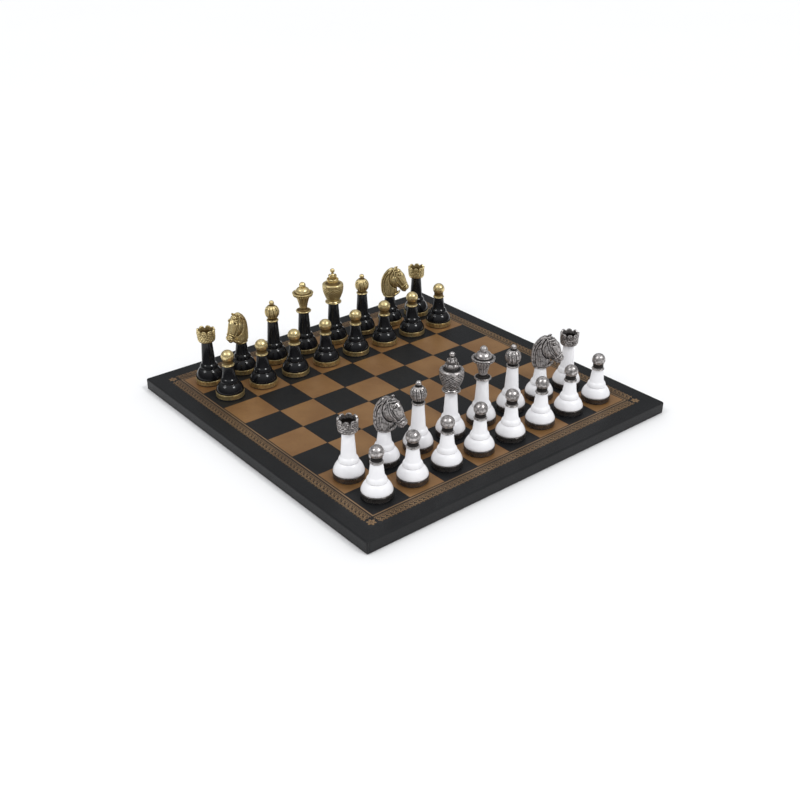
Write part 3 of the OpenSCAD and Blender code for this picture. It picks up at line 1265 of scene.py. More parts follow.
@dataclass
class BishopHead:
    """An onion with ribs like leaves, on a saucer and under a small knob."""

    collar: float = 5.6
    onion: float = 6.8
    half: float = 7.2
    rise: float = 9.0
    knob: float = 2.4
    ribs: int = 10

    def ribbed(self, radius: np.ndarray, height: np.ndarray, angle: np.ndarray) -> np.ndarray:
        """Grooves between the leaves and a fine vein down each, which fade at the poles.

        Args:
            radius: distance from the axis.
            height: height in the head.
            angle: angle round the axis.

        Returns:
            How far each point moves outwards.
        """
        leafy = angle / FULL * self.ribs + 0.035 * (height - self.rise)
        away = np.abs(leafy - np.round(leafy)) * FULL * radius / self.ribs
        vein = np.abs(np.abs(leafy - np.floor(leafy)) - 0.5) * FULL * radius / self.ribs
        band = eased(height, 3.4, 5.4) * eased(height, 15.6, 13.6)
        barbs = 0.09 * np.sin(4.2 * (height + 0.9 * vein))
        return band * (-0.7 * groove(away, 0.42) - 0.2 * groove(vein, 0.2) + barbs)

    def build(self) -> Surface:
        """Saucer, onion and knob in one casting.

        Returns:
            The head.
        """
        low = math.degrees(math.asin((3.4 - self.rise) / self.half))
        high = 64.0
        knob_z = self.rise + self.half * math.sin(math.radians(high)) + self.knob
        path = outline(
            saucer(self.collar),
            [(3.6, 2.0)],
            arc((0, self.rise), (self.onion, self.half), low, high, 44),
            [(1.5, knob_z - self.knob * 0.72)],
            arc((0, knob_z), (self.knob, self.knob), -44, 90, 12),
        )
        return hammered(revolved(path, 150, self.ribbed), 0.03, 2.2, 31)


@dataclass
class QueenHead:
    """A fluted goblet with a ring of pearls under its rim, a dome and a knob."""

    collar: float = 7.25
    neck: float = 3.45
    goblet: float = 7.25
    rim: float = 10.0
    rise: float = 19.2
    dome: float = 6.9
    dome_height: float = 5.0
    knob: float = 3.2
    flutes: int = 14
    pearls: int = 26

    def fluted(self, radius: np.ndarray, height: np.ndarray, angle: np.ndarray) -> np.ndarray:
        """Upright flutes with a row of bars across them, between the neck and the pearls.

        Args:
            radius: distance from the axis.
            height: height in the head.
            angle: angle round the axis.

        Returns:
            How far each point moves outwards.
        """
        along = angle / FULL * self.flutes
        away = np.abs(along - np.round(along)) * FULL * radius / self.flutes
        band = eased(height, 5.4, 7.4) * eased(height, 16.6, 15.6)
        bars = groove(np.abs((height - 6.8) % 1.9 - 0.95), 0.3) * eased(away, 0.2, 0.9)
        return band * (-0.55 * groove(away, 0.34) - 0.22 * bars)

    def build(self) -> Surface:
        """The turned casting and its pearls.

        Returns:
            The head.
        """
        lip = self.rim - self.goblet
        share = np.linspace(0, 1, 46)
        widths = self.neck + (self.goblet - 0.5 - self.neck) * share - 0.35 * np.sin(np.pi * share)
        flank = np.stack([widths, 3.4 + (self.rise - lip - 4.2) * share], axis=1)
        knob, dome_z = self.knob, self.rise + 0.5
        knob_z = dome_z + self.dome_height + knob / 2
        brim = [
            (self.goblet - 0.5, self.rise - lip - 0.8),
            (self.goblet, self.rise - lip + 0.5),
            (self.rim - 0.9, self.rise - 1.4),
            (self.rim, self.rise - 0.7),
            (self.rim, self.rise),
            (self.rim - 0.8, self.rise + 0.25),
            (self.dome + 0.5, self.rise - 0.35),
            (self.dome + 0.1, self.rise - 0.1),
        ]
        path = outline(
            saucer(self.collar),
            [(4.3, 1.9), (3.9, 2.4)],
            flank,
            softened(brim, 0.3, 3),
            arc((knob / 2, dome_z), (self.dome - knob / 2, self.dome_height), 0, 86, 18),
            [(knob * 0.46, knob_z - knob * 0.62), (knob * 0.6, knob_z - knob * 0.55)],
            arc((0, knob_z), (knob, knob), -28, 90, 14),
        )
        turned = hammered(revolved(path, 168, self.fluted), 0.03, 2.4, 41)
        bead = pearl(0.78).placed((self.rim - 1.35, 0, self.rise - 2.35))
        return joined([turned, crown_of(bead, self.pearls)])


@dataclass
class KingHead:
    """An urn covered in feathers, with a bright rim, two tiers of leaves and a ball on top."""

    collar: float = 7.9
    neck: float = 6.3
    rim: float = 10.1
    rise: float = 19.4
    ball: float = 2.25
    ball_z: float = 32.4
    feathers: int = 20
    row: float = 2.35

    def feathered(self, radius: np.ndarray, height: np.ndarray, angle: np.ndarray) -> np.ndarray:
        """Rows of pointed feathers that overlap like tiles, with a quill and slanted barbs.

        Each row is shifted half a feather. A feather is thickest at its tip, and its edge is a
        V, so the groove round it follows the distance to that V.

        Args:
            radius: distance from the axis.
            height: height in the head.
            angle: angle round the axis.

        Returns:
            How far each point moves outwards.
        """
        along = angle / FULL * self.feathers
        up = (height - 3.6) / self.row
        band = eased(height, 4.0, 5.0) * eased(height, 17.6, 16.8)
        total = np.zeros_like(radius)
        for shift in (0, 1):
            across = np.abs((along + 0.5 * shift) % 1 - 0.5) * 2
            level = (up + 0.5 * shift) % 1
            edge = np.abs(level - 0.95 * across) * self.row
            total -= 0.34 * groove(edge, 0.26)
            total -= 0.12 * groove(1 - across, 0.07)
        barbs = 0.07 * np.sin(5.2 * height + 9 * np.abs((along * 2) % 1 - 0.5))
        return band * (total + barbs)

    def tier(
        self,
        root: float,
        reach: float,
        low: float,
        tall: float,
        width: float,
        count: int,
        turn: float,
    ) -> Surface:
        """A tier of fat leaves that rise, bow outwards and curl back in at their tips.

        A leaf's path is an arc: out by a sine of the share along it, up by a sine of a power of
        the share, and the tip turns in with the fifth power of the share.

        Args:
            root: distance of the roots from the axis.
            reach: distance of the bows from the axis.
            low: height of the roots.
            tall: height of the leaves.
            width: half width of a leaf.
            count: how many leaves.
            turn: angle of the first.

        Returns:
            The tier.
        """
        t = np.linspace(0, 1, 12)
        bow = np.sin(np.pi * np.minimum(0.62 * t, 0.5) / 0.5 / 2)
        out = root + (reach - root) * bow - 0.9 * t**5
        path = np.stack([out, low + tall * np.sin(0.5 * np.pi * t**1.3)], axis=1)
        widths = width * np.sin(np.pi * (0.2 + 0.72 * t)) ** 0.6
        return crown_of(leaf(path, widths, 0.62, 10, 0.3), count, turn)

    def build(self) -> Surface:
        """The urn, its lid and finial in one casting, with the leaves round the finial.

        Returns:
            The head.
        """
        urn = np.linspace(0, 1, 48)
        swell = (self.rim - self.neck) * np.sin(np.pi / 2 * urn)
        width = self.neck + swell + 0.3 * np.sin(np.pi * urn)
        flank = np.stack([width, 3.4 + (self.rise - 1.6 - 3.4) * urn], axis=1)
        rim, rise, lid = self.rim, self.rise, self.rise + 0.2
        seat = [(rim - 3.0, rise + 0.1), (rim - 3.5, rise - 0.1), (5.4, lid + 0.5)]
        cone = [
            (5.4, lid + 0.5), (4.2, lid + 1.5), (3.4, lid + 3.4), (2.5, lid + 5.4), (2.2, lid + 7.6)
        ]
        tip = [(2.2, lid + 7.6), (2.0, lid + 9.0), (1.2, lid + 10.0), (1.0, lid + 10.6)]
        path = outline(
            saucer(self.collar),
            softened([(self.neck + 0.2, 1.9), (self.neck - 0.5, 2.6), (self.neck, 3.4)], 0.4, 3),
            flank[1:],
            arc((rim - 1.7, rise - 1.0), (1.7, 1.5), -30, 130, 14),
            softened(seat, 0.3, 3),
            softened(cone, 0.5, 4),
            softened(tip, 0.4, 4),
            arc((0, self.ball_z), (self.ball, self.ball), -64, 90, 12),
        )
        turned = hammered(revolved(path, 192, self.feathered), 0.03, 2.4, 53)
        lower = self.tier(3.9, 5.6, lid + 0.2, 4.7, 2.3, 7, 0.2)
        upper = self.tier(2.2, 3.9, lid + 4.5, 4.2, 1.7, 6, 0.0)
        return joined([turned, lower, upper])


@dataclass
class KnightHead:
    """A horse's head on an arched neck, with mane, bridle and a rim round its foot, facing +X."""

    voxel: float = 0.26
    stretch: float = 1.03
    crest: tuple = (
        (-6.4, 0.6), (-8.5, 5), (-9.0, 11), (-8.2, 17), (-5.9, 22.8), (-1.8, 27.4), (3.0, 30.2),
        (7, 31.2),
    )
    jaw: tuple = (
        (3.4, 27.0), (0.8, 23.0), (0.0, 18.6), (1.0, 14.2), (3.8, 10.6), (7.6, 8.7), (12.0, 7.2)
    )
    face: tuple = ((6.4, 24.6), (8.6, 19.4), (11.6, 14.6), (14.6, 11.0), (17.0, 8.8))
    mouth: tuple = ((19.6, 7.9), (17.0, 8.1), (14.6, 9.2))
    cheekbone: tuple = ((9.8, 21.4), (12.6, 17.0), (15.6, 12.8))
    cheek_hollow: tuple = ((8.6, 20.6), (11.2, 16.2), (13.2, 13.2))
    forelock: tuple = ((6.0, 30.6), (9.2, 29.0), (11.6, 26.4))
    ear_line: tuple = ((6.2, 27.6), (7.4, 29.6))
    eye: tuple = (10.7, 23.6)
    nostril: tuple = (18.0, 10.6)
    ring: tuple = (13.2, 10.6)

    def tube(
        self, spine: Sequence, columns: int = 40, per: int = 10, blunt: float = 0.0
    ) -> Surface:
        """A closed tube along a spine in the X and Z plane, whose sections are ellipses.

        Spine points and half widths run through Catmull-Rom curves. A section point is the spine
        plus the half depth times a cosine in the plane, and the half thickness times a sine
        across it. A quarter circle of shrinking sections rounds each end.

        Args:
            spine: rows of X, Z, half depth and half thickness.
            columns: points round a section.
            per: spans between two rows.
            blunt: radius of the ends' rounding, or 0 for as round as the tube allows.

        Returns:
            The tube.
        """
        rows = np.asarray(spine, float)
        rows = np.vstack([2 * rows[0] - rows[1], rows, 2 * rows[-1] - rows[-2]])
        t = np.linspace(0, 1, per, endpoint=False)[:, None]
        run = []
        for k in range(1, len(rows) - 2):
            a, b, c, d = rows[k - 1 : k + 3]
            bend = 2 * b + (c - a) * t + (2 * a - 5 * b + 4 * c - d) * t**2
            run.append(0.5 * (bend + (3 * b - a - 3 * c + d) * t**3))
        run = np.concatenate([*run, rows[-2:-1]])
        way = np.gradient(run[:, :2], axis=0)
        way /= np.linalg.norm(way, axis=1, keepdims=True)
        lean = np.radians(np.linspace(10, 80, 8))
        caps = {}
        for end, sign, order in ((0, -1, slice(None, None, -1)), (-1, 1, slice(None))):
            reach = blunt or 0.96 * run[end, 2:].min()
            cap = np.repeat(run[end][None, :], len(lean), axis=0)
            cap[:, :2] += sign * way[end] * (np.sin(lean) * reach)[:, None]
            cap[:, 2:] -= reach * (1 - np.cos(lean))[:, None]
            caps[end] = (cap[order], np.repeat(way[end][None, :], len(lean), axis=0))
        run = np.vstack([caps[0][0], run, caps[-1][0]])
        way = np.vstack([caps[0][1], way, caps[-1][1]])
        out = np.stack([-way[:, 1], way[:, 0]], axis=1)
        angle = np.linspace(0, FULL, columns, endpoint=False)[None, :]
        depth = run[:, 2:3] * np.cos(angle)
        x, z = run[:, :1] + out[:, :1] * depth, run[:, 1:2] + out[:, 1:] * depth
        points = np.stack([x, run[:, 3:4] * np.sin(angle), z], axis=-1)
        return grid(points, ends=middles(points))

    def lump(self, centre: Sequence[float], radii: Sequence[float]) -> Surface:
        """An ellipsoid: a unit ball stretched by three radii and moved to its centre."""
        ball = revolved(arc((0, 0), (1, 1), -86, 86, 22), 32)
        return Surface(ball.points * np.asarray(radii) + np.asarray(centre), ball.quads, ball.tris)

    def masses(self) -> Surface:
        """The masses of neck, breast, head, chin, cheeks, ears, brows and nostrils, overlapping.

        Returns:
            All the masses, each a closed shell.
        """
        neck = (
            (-0.3, 1.1, 6.3, 5.4), (-0.4, 4.4, 7.9, 5.3), (-0.7, 11, 8.3, 4.6),
            (0.1, 17, 8.0, 4.3), (2.2, 23, 6.3, 3.8), (4.4, 26.8, 4.2, 2.8),
        )
        breast = (
            (3.0, 2.0, 1.8, 4.6), (6.8, 3.0, 1.6, 3.9), (9.2, 4.6, 1.1, 2.7),
            (10.2, 5.9, 0.6, 1.5),
        )
        head = (
            (6.0, 25.4, 4.9, 3.5), (8.0, 20.4, 7.2, 4.4), (10.8, 15.6, 6.5, 4.1),
            (13.7, 11.9, 5.0, 3.5), (16.3, 9.4, 3.8, 3.2),
        )
        chin = ((11.8, 8.6, 1.6, 2.2), (14.0, 7.1, 1.7, 2.3), (15.6, 6.6, 1.3, 1.8))
        parts = [
            self.tube(neck, blunt=1.0),
            self.tube(breast, 24, 6, 0.5),
            self.tube(head, blunt=2.3),
            self.tube(chin, 24, 6),
        ]
        for side in (-1, 1):
            parts.append(self.lump((6.0, side * 1.6, 16.6), (5.8, 3.9, 6.4)))
            parts.append(self.lump((10.0, side * 3.4, 24.2), (2.1, 1.3, 1.6)))
            parts.append(self.lump((17.2, side * 2.3, 10.4), (1.6, 1.3, 1.7)))
            ear = ((5.0, 26.6, 1.8, 1.3), (6.0, 28.4, 1.5, 1.1), (7.4, 29.6, 0.8, 0.6))
            ear = self.tube(ear, 20, 6)
            ear.points[:, 1] += side * 2.7
            parts.append(ear)
        return joined(parts)

    def fused(self) -> Surface:
        """The masses joined into one skin by a voxel remesh, and evened out.

        Returns:
            The skin.
        """
        rough = self.masses().to_object("knight_masses", 1.0)
        remesh = rough.modifiers.new("fuse", "REMESH")
        remesh.mode = "VOXEL"
        remesh.voxel_size = self.voxel
        evaluated = rough.evaluated_get(bpy.context.evaluated_depsgraph_get())
        mesh = evaluated.to_mesh()
        points = np.zeros(len(mesh.vertices) * 3, np.float32)
        corners = np.zeros(len(mesh.loops), np.int32)
        sizes, starts = np.zeros((2, len(mesh.polygons)), np.int32)
        mesh.vertices.foreach_get("co", points)
        mesh.loops.foreach_get("vertex_index", corners)
        mesh.polygons.foreach_get("loop_total", sizes)
        mesh.polygons.foreach_get("loop_start", starts)
        four, three = starts[sizes == 4], starts[sizes == 3]
        skin = Surface(
            points.reshape(-1, 3).astype(float),
            corners[four[:, None] + np.arange(4)].astype(int),
            corners[three[:, None] + np.arange(3)].astype(int),
        )
        evaluated.to_mesh_clear()
        bpy.data.objects.remove(rough)
        skin.points = skin.averaged(skin.points, 5, 0.5)
        return skin

    def off_line(self, x: np.ndarray, z: np.ndarray, line: Sequence) -> np.ndarray:
        """Distance in the side view from each point to a run of straight spans.

        Args:
            x: the points' forward places.
            z: their heights.
            line: the corners of the run.

        Returns:
            The distances.
        """
        here = np.stack([x, z], axis=-1)
        best = np.full(x.shape, np.inf)
        for a, b in zip(np.asarray(line[:-1], float), np.asarray(line[1:], float)):
            way = b - a
            t = np.clip(((here - a) @ way) / (way @ way), 0, 1)
            best = np.minimum(best, np.linalg.norm(here - a - t[..., None] * way, axis=-1))
        return best

    def mane(
        self, x: np.ndarray, z: np.ndarray, flank: np.ndarray, on_neck: np.ndarray
    ) -> np.ndarray:
        """Two bold ridges along the crest, then fine locks that fall down the neck.

        Args:
            x: forward place.
            z: height.
            flank: 1 on the sides and 0 on the middle line.
            on_neck: 1 on the neck and 0 on the head.

        Returns:
            The relief's height.
        """
        depth = self.off_line(x, z, self.crest)
        ridges = -0.8 * groove(depth - 1.9, 0.36) - 0.85 * groove(depth - 3.7, 0.38)
        ridges += 0.45 * groove(depth - 2.8, 0.45) + 0.45 * groove(depth - 1.0, 0.5)
        fall = FULL * (x + 0.10 * z + 0.35 * np.sin(0.42 * z + x)) / 1.15
        locks = 0.17 * np.cos(fall) + 0.1 * np.cos(1.9 * fall + 0.6 * z)
        locks *= eased(depth, 4.0, 5.2) * flank
        return on_neck * (ridges + locks)

    def bridle(self, x: np.ndarray, z: np.ndarray, flank: np.ndarray) -> np.ndarray:
        """Straps with a groove along both edges, and a ring where they meet at the mouth.

        Args:
            x: forward place.
            z: height.
            flank: 1 on the sides and 0 on the middle line.

        Returns:
            The relief's height.
        """
        straps = (
            ([(4.6, 27.2), (6.0, 21.6), (9.0, 15.6), (13.4, 10.2)], 0.45),
            ([(5.4, 26.0), (8.6, 27.0), (11.6, 27.0)], 0.4),
            ([(18.2, 15.2), (15.6, 12.8), (12.6, 10.2), (10.4, 7.8)], 0.5),
        )
        height = np.zeros_like(x)
        for line, width in straps:
            off = self.off_line(x, z, line)
            band, seam = eased(off, width + 0.22, width), groove(off - width - 0.45, 0.26)
            height += 0.42 * band - 0.4 * seam
        ring = np.hypot(x - self.ring[0], z - self.ring[1])
        height += 0.5 * groove(ring - 1.2, 0.3) - 0.45 * groove(ring, 0.6)
        return height * flank

    def relief(self, skin: Surface) -> np.ndarray:
        """How far each point stands out: mane, jaw, bridle, eye, nostril, mouth and rims.

        Args:
            skin: the fused skin.

        Returns:
            The height of the relief at each point.
        """
        x, y, z = skin.points.T
        flank = eased(np.abs(skin.normals()[:, 1]), 0.15, 0.55)
        jaw = self.off_line(x, z, self.jaw)
        middle = self.off_line(x, z, self.face)
        on_head = eased(middle - 0.22 * np.clip(z - 12, 0, 9), 5.4, 4.6)
        on_head = np.maximum(on_head, eased(x, 11.0, 12.0))
        on_neck = (1 - on_head) * eased(z, 1.8, 2.8) * eased(jaw, 0.4, 1.0)
        height = self.mane(x, z, flank, on_neck) + on_head * self.bridle(x, z, flank)
        height -= 0.95 * groove(jaw, 0.5) * flank
        height += 0.35 * groove(self.off_line(x, z, self.jaw[:-1]) - 1.3, 0.5) * flank * on_head
        eye = np.hypot(x - self.eye[0], z - self.eye[1])
        height += (0.4 * eased(eye, 0.95, 0.3) - 0.6 * groove(eye - 1.25, 0.32)) * flank
        nostril = np.hypot(x - self.nostril[0], z - self.nostril[1])
        height -= 0.8 * groove(nostril, 0.55) * flank
        height -= 0.6 * groove(self.off_line(x, z, self.mouth), 0.32)
        height += 0.35 * groove(self.off_line(x, z, self.cheekbone), 0.5) * flank
        height -= 0.35 * groove(self.off_line(x, z, self.cheek_hollow), 0.45) * flank
        lock = groove(self.off_line(x, z, self.forelock), 1.5)
        height += 0.25 * lock * np.cos(FULL * y / 1.1) * (1 - flank)
        height -= 0.5 * groove(self.off_line(x, z, self.ear_line), 0.4) * flank
        height += 0.35 * groove(z - 0.7, 0.45) - 0.45 * groove(z - 1.75, 0.35) * (1 - on_head)
        return height

    def build(self) -> Surface:
        """The fused skin moved along its normals by the relief, flat on its seat and drawn up.

        Returns:
            The head.
        """
        skin = self.fused()
        height = self.relief(skin)
        skin.points = skin.points + skin.normals() * height[:, None]
        skin.points = skin.averaged(skin.points, 1, 0.3)
        skin = hammered(skin, 0.03, 1.9, 67)
        skin.points[:, 2] = np.maximum(skin.points[:, 2], 0) * self.stretch
        return skin


HEADS: dict[Kind, type] = {
    Kind.PAWN: PawnHead,
    Kind.ROOK: RookHead,
    Kind.KNIGHT: KnightHead,
    Kind.BISHOP: BishopHead,
    Kind.QUEEN: QueenHead,
    Kind.KING: KingHead,
}

# Which way each knight faces, in degrees about Z.
FACING = {
    "white_left_knight": -62,
    "white_right_knight": -50,
    "black_left_knight": -157,
    "black_right_knight": -47,
}

# Heights of the bodies' beads, and of a pawn's body, which has no head node to read it from.
TALL_BEAD = 15.3
SHORT_BEAD = 14.2
PAWN_BODY = 29.45


class Workshop:
    """Makes each shape once, at the origin, and hands out the same one every time."""

    def __init__(self) -> None:
        """Starts with empty shelves."""
        self.shelf: dict[tuple, Surface] = {}

    def make(self, key: tuple, build: Callable[[], Surface]) -> Surface:
        """A shape by its key, built and marked the first time.

        Args:
            key: what tells the shape from others.
            build: the function that builds it.

        Returns:
            The shape.
        """
        if key not in self.shelf:
            self.shelf[key] = build().marked()
        return self.shelf[key]


@dataclass
class ChessPiece:
    """One chess piece: its body's name, its side and its kind."""

    name: str
    side: Side
    kind: Kind

    def nodes(self) -> tuple[str, Optional[str]]:
        """The CAD nodes of the standing parts and of the head.

        Returns:
            The two names; a pawn has no head node.
        """
        if self.kind is Kind.PAWN:
            return self.name, None
        return f"{self.name}_body", f"{self.name}_head"

    def build(self, workshop: Workshop) -> int:
        """Builds, finishes and places the cup, felt, turned body and casting.

        Args:
            workshop: where the shapes are made.

        Returns:
            How many faces the piece has.
        """
        standing, head_node = self.nodes()
        low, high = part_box(standing)
        foot = ((low.x + high.x) / 2 / MM, (low.y + high.y) / 2 / MM, low.z / MM)
        base = Base(radius=round((high.x - low.x) / 2 / MM, 2))
        body_top = (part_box(head_node)[0].z / MM - foot[2]) if head_node else PAWN_BODY
        body_top = round(body_top, 2)
        short = self.kind in (Kind.PAWN, Kind.KNIGHT)
        body = TurnedBody(base, body_top - base.glue, SHORT_BEAD if short else TALL_BEAD)
        turned = workshop.make(("body", base.radius, body_top, short), body.build)
        cup = workshop.make(("cup", base.radius), base.build_cup)
        felt = workshop.make(("felt", base.radius), base.build_felt)
        head = workshop.make(("head", self.kind), HEADS[self.kind]().build)
        cast = head.placed((0, 0, body_top), math.radians(FACING.get(self.name, 0)))
        made = (
            ("turned_body", turned, BODY_LACQUER[self.side], standing),
            ("base_cup", cup, CUP_METAL[self.side], None),
            ("felt_disc", felt, FELT, None),
            ("casting", cast, HEAD_METAL[self.side], head_node),
        )
        faces = 0
        for part, surface, finish, replaced in made:
            piece = finish.put_on(surface.placed(foot).to_object(f"{self.name}_{part}"))
            if replaced:
                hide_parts(replaced)
            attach(piece, self.name)
            faces += len(piece.data.polygons)
        LOG.info("%s: %d faces", self.name, faces)
        return faces


# ---------------------------------------------------------------- board


@dataclass
class Cover:
    """The leatherette wrapped over the board: top, sides and the turn-in underneath."""

    half: float
    bottom: float
    top: float
    thickness: float
    square: float
    files: int = 8
    gap: float = 0.3
    arris: float = 1.6
    turn_in: float = 22.0
    pocket: float = 0.25
    slope: float = 0.1
    line: tuple[float, float] = (140.8, 142.0)
    lace: tuple[float, float] = (143.3, 151.1)
    corner: float = 1.1
    fold: float = 1.9

    def cell_lines(self) -> np.ndarray:
        """The panel's grid lines.

        There are four at each square's edge, one in its middle, and some near the corners.

        Returns:
            The lines' places, in order.
        """
        side, reach = self.square, self.files * self.square / 2
        edges = (np.arange(self.files + 1) - self.files / 2) * side
        near = self.gap / 2
        offsets = np.array([-near - self.slope, -near, near, near + self.slope])
        lines = (edges[:, None] + offsets).ravel()
        middles = edges[:-1] + side / 2
        edge = reach + 0.4
        from_corner = np.array([0.35, 0.8, 1.3, 1.6, 1.9, 2.2, 2.6, 3.4, 5.0, 9.0])
        close = edge * (1 - from_corner / self.half)
        lines = np.concatenate([lines, middles, close, -close, [-edge, edge]])
        lines = np.sort(lines[np.abs(lines) <= edge + ROUNDING])
        return lines[np.concatenate([[True], np.diff(lines) > ROUNDING])]

    def pocketed(self, lines: np.ndarray) -> np.ndarray:
        """Heights over the panel: sunk inside each bronze square, level elsewhere.

        A line is inside a square where it is at least half the gap and the slope from its edges.
        A square is bronze where its file and rank add up to an odd number.

        Args:
            lines: the panel's grid lines.

        Returns:
            A height per crossing of two lines.
        """
        place = lines / self.square + self.files / 2
        cell = np.clip(np.floor(place), 0, self.files - 1).astype(int)
        off = np.abs(lines - (cell + 0.5 - self.files / 2) * self.square)
        inside = off <= self.square / 2 - self.gap / 2 - self.slope + ROUNDING
        both = inside[:, None] & inside[None, :]
        bronze = (cell[:, None] + cell[None, :]) % 2 == 1
        return np.where(both & bronze, self.top - self.pocket, self.top)

    def rings(self) -> tuple[list, list]:
        """Half width and height of each ring from the panel outwards.

        Returns:
            The rings of the outer skin and those of the inner skin.
        """
        top, h, a = self.top, self.half, self.arris
        low, (l0, l1), (b0, b1) = self.slope, self.line, self.lace
        outside = [
            (l0, top), (l0 + low, top - self.pocket), (l1 - low, top - self.pocket), (l1, top),
            (b0 - 0.5, top), (b0 - 0.2, top - 0.1), (b1 + 0.2, top - 0.1), (b1 + 0.6, top),
            (b1 + 4, top), (h - a - 3, top),
        ]
        outside += [tuple(p) for p in arc((h - a, top - a), (a, a), 90, 0, 8)]
        outside += [(h, z) for z in np.linspace(top - a, self.bottom + 0.6, 7)[1:]]
        outside += [tuple(p) for p in arc((h - 0.6, self.bottom + 0.6), (0.6, 0.6), -15, -90, 4)]
        outside += [(h - self.turn_in / 2, self.bottom), (h - self.turn_in, self.bottom)]
        t, ia = self.thickness, self.arris - self.thickness / 2
        inside = [(h - self.turn_in, self.bottom + t), (h - t, self.bottom + t)]
        inside += [tuple(p) for p in arc((h - t - ia, top - t - ia), (ia, ia), 0, 90, 5)]
        return outside, inside

    def ring_points(self, shares: np.ndarray, half: float, z: float, soft: bool) -> np.ndarray:
        """One square ring: a point's share of the side times the half width, on four sides.

        Args:
            shares: places along a side, from -1 to 1.
            half: the ring's half width.
            z: its height.
            soft: whether its corners are rounded and its folds pressed in.

        Returns:
            The ring's points.
        """
        sides = []
        for k in range(4):
            along = shares[:-1] * half
            across = np.full(len(along), -half)
            if soft:
                start = half + along
                steep = eased(np.array([self.top - z]), 0.3, 2.0)[0]
                across = across + 0.3 * steep * groove(start - self.fold, 0.4)
            turn = k * math.pi / 2
            c, s = math.cos(turn), math.sin(turn)
            sides.append(np.stack([c * along - s * across, s * along + c * across], axis=1))
        flat = np.concatenate(sides)
        if soft:
            inner = half - self.corner
            over = np.maximum(np.abs(flat) - inner, 0)
            beyond = np.linalg.norm(over, axis=1)
            both = (over > 0).all(axis=1) & (beyond > self.corner)
            round_in = over[both] * (self.corner / beyond[both])[:, None]
            flat[both] = np.sign(flat[both]) * (inner + round_in)
        return np.column_stack([flat, np.full(len(flat), z)])

    def sheet(self, lines: np.ndarray, heights: np.ndarray, rings: list, flip: bool) -> Surface:
        """The panel and the rings round it as one skin.

        Args:
            lines: the panel's grid lines.
            heights: the panel's heights.
            rings: half width and height of each ring.
            flip: whether the skin faces inwards.

        Returns:
            The skin, whose ring points share the panel's edge points.
        """
        count = len(lines)
        x, y = np.meshgrid(lines, lines, indexing="ij")
        panel = np.stack([x, y, heights], axis=-1).reshape(-1, 3)
        number = np.arange(count * count).reshape(count, count)
        corners = [number[:-1, :-1], number[1:, :-1], number[1:, 1:], number[:-1, 1:]]
        quads = np.stack(corners, axis=-1)
        edge = [number[:-1, 0], number[-1, :-1], number[:0:-1, -1], number[0, :0:-1]]
        edge = np.concatenate(edge)
        shares = lines / lines[-1]
        points, faces, before = [panel], [quads.reshape(-1, 4)], edge
        first = len(panel)
        for half, z in rings:
            ring = self.ring_points(shares, half, z, half > self.half - 4)
            here = first + np.arange(len(ring))
            faces.append(
                np.stack([here, np.roll(here, -1), np.roll(before, -1), before], axis=-1)
            )
            points.append(ring)
            before, first = here, first + len(ring)
        made = np.concatenate(faces)
        return Surface(np.concatenate(points), made[:, ::-1] if flip else made)

    def build(self) -> Surface:
        """Both skins, joined along the turn-in's inner edge, with a slow unevenness.

        Returns:
            The cover.
        """
        lines = self.cell_lines()
        outside, inside = self.rings()
        outer = self.sheet(lines, self.pocketed(lines), outside, False)
        under = np.full((len(lines), len(lines)), self.top - self.thickness)
        inner = self.sheet(lines, under, inside[::-1], True)
        count = 4 * (len(lines) - 1)
        wrap = joined([outer, inner])
        a = len(outer.points) - count + np.arange(count)
        b = len(wrap.points) - count + np.arange(count)
        seam = np.stack([a, b, np.roll(b, -1), np.roll(a, -1)], axis=-1)
        wrap.quads = np.vstack([wrap.quads, seam])
        p = wrap.points
        on_top = (p[:, 2] > self.top - 0.01) & (np.abs(p[:, :2]).max(axis=1) > self.lace[1])
        p[on_top, 2] -= 0.03 * (1 + ripple(p[on_top] * [1, 1, 0], 60, 3))
        return wrap


def ribbon(path: np.ndarray, width: float, low: float, high: float, loop: bool = False) -> Surface:
    """A flat strip of foil along a path: a box section carried along it.

    Args:
        path: the middle line, as X and Y.
        width: the strip's width.
        low: height of its underside.
        high: height of its top.
        loop: whether it closes on itself.

    Returns:
        The strip.
    """
    if loop:
        way = np.roll(path, -1, axis=0) - np.roll(path, 1, axis=0)
    else:
        way = np.gradient(path, axis=0)
    way = way / np.linalg.norm(way, axis=1, keepdims=True)
    left = np.stack([-way[:, 1], way[:, 0]], axis=1) * width / 2
    corners = [(1, high), (-1, high), (-1, low), (1, low)]
    rows = [np.column_stack([path + sign * left, np.full(len(path), z)]) for sign, z in corners]
    points = np.stack(rows, axis=1)
    return grid(points, along=True) if loop else grid(points, ends=middles(points))


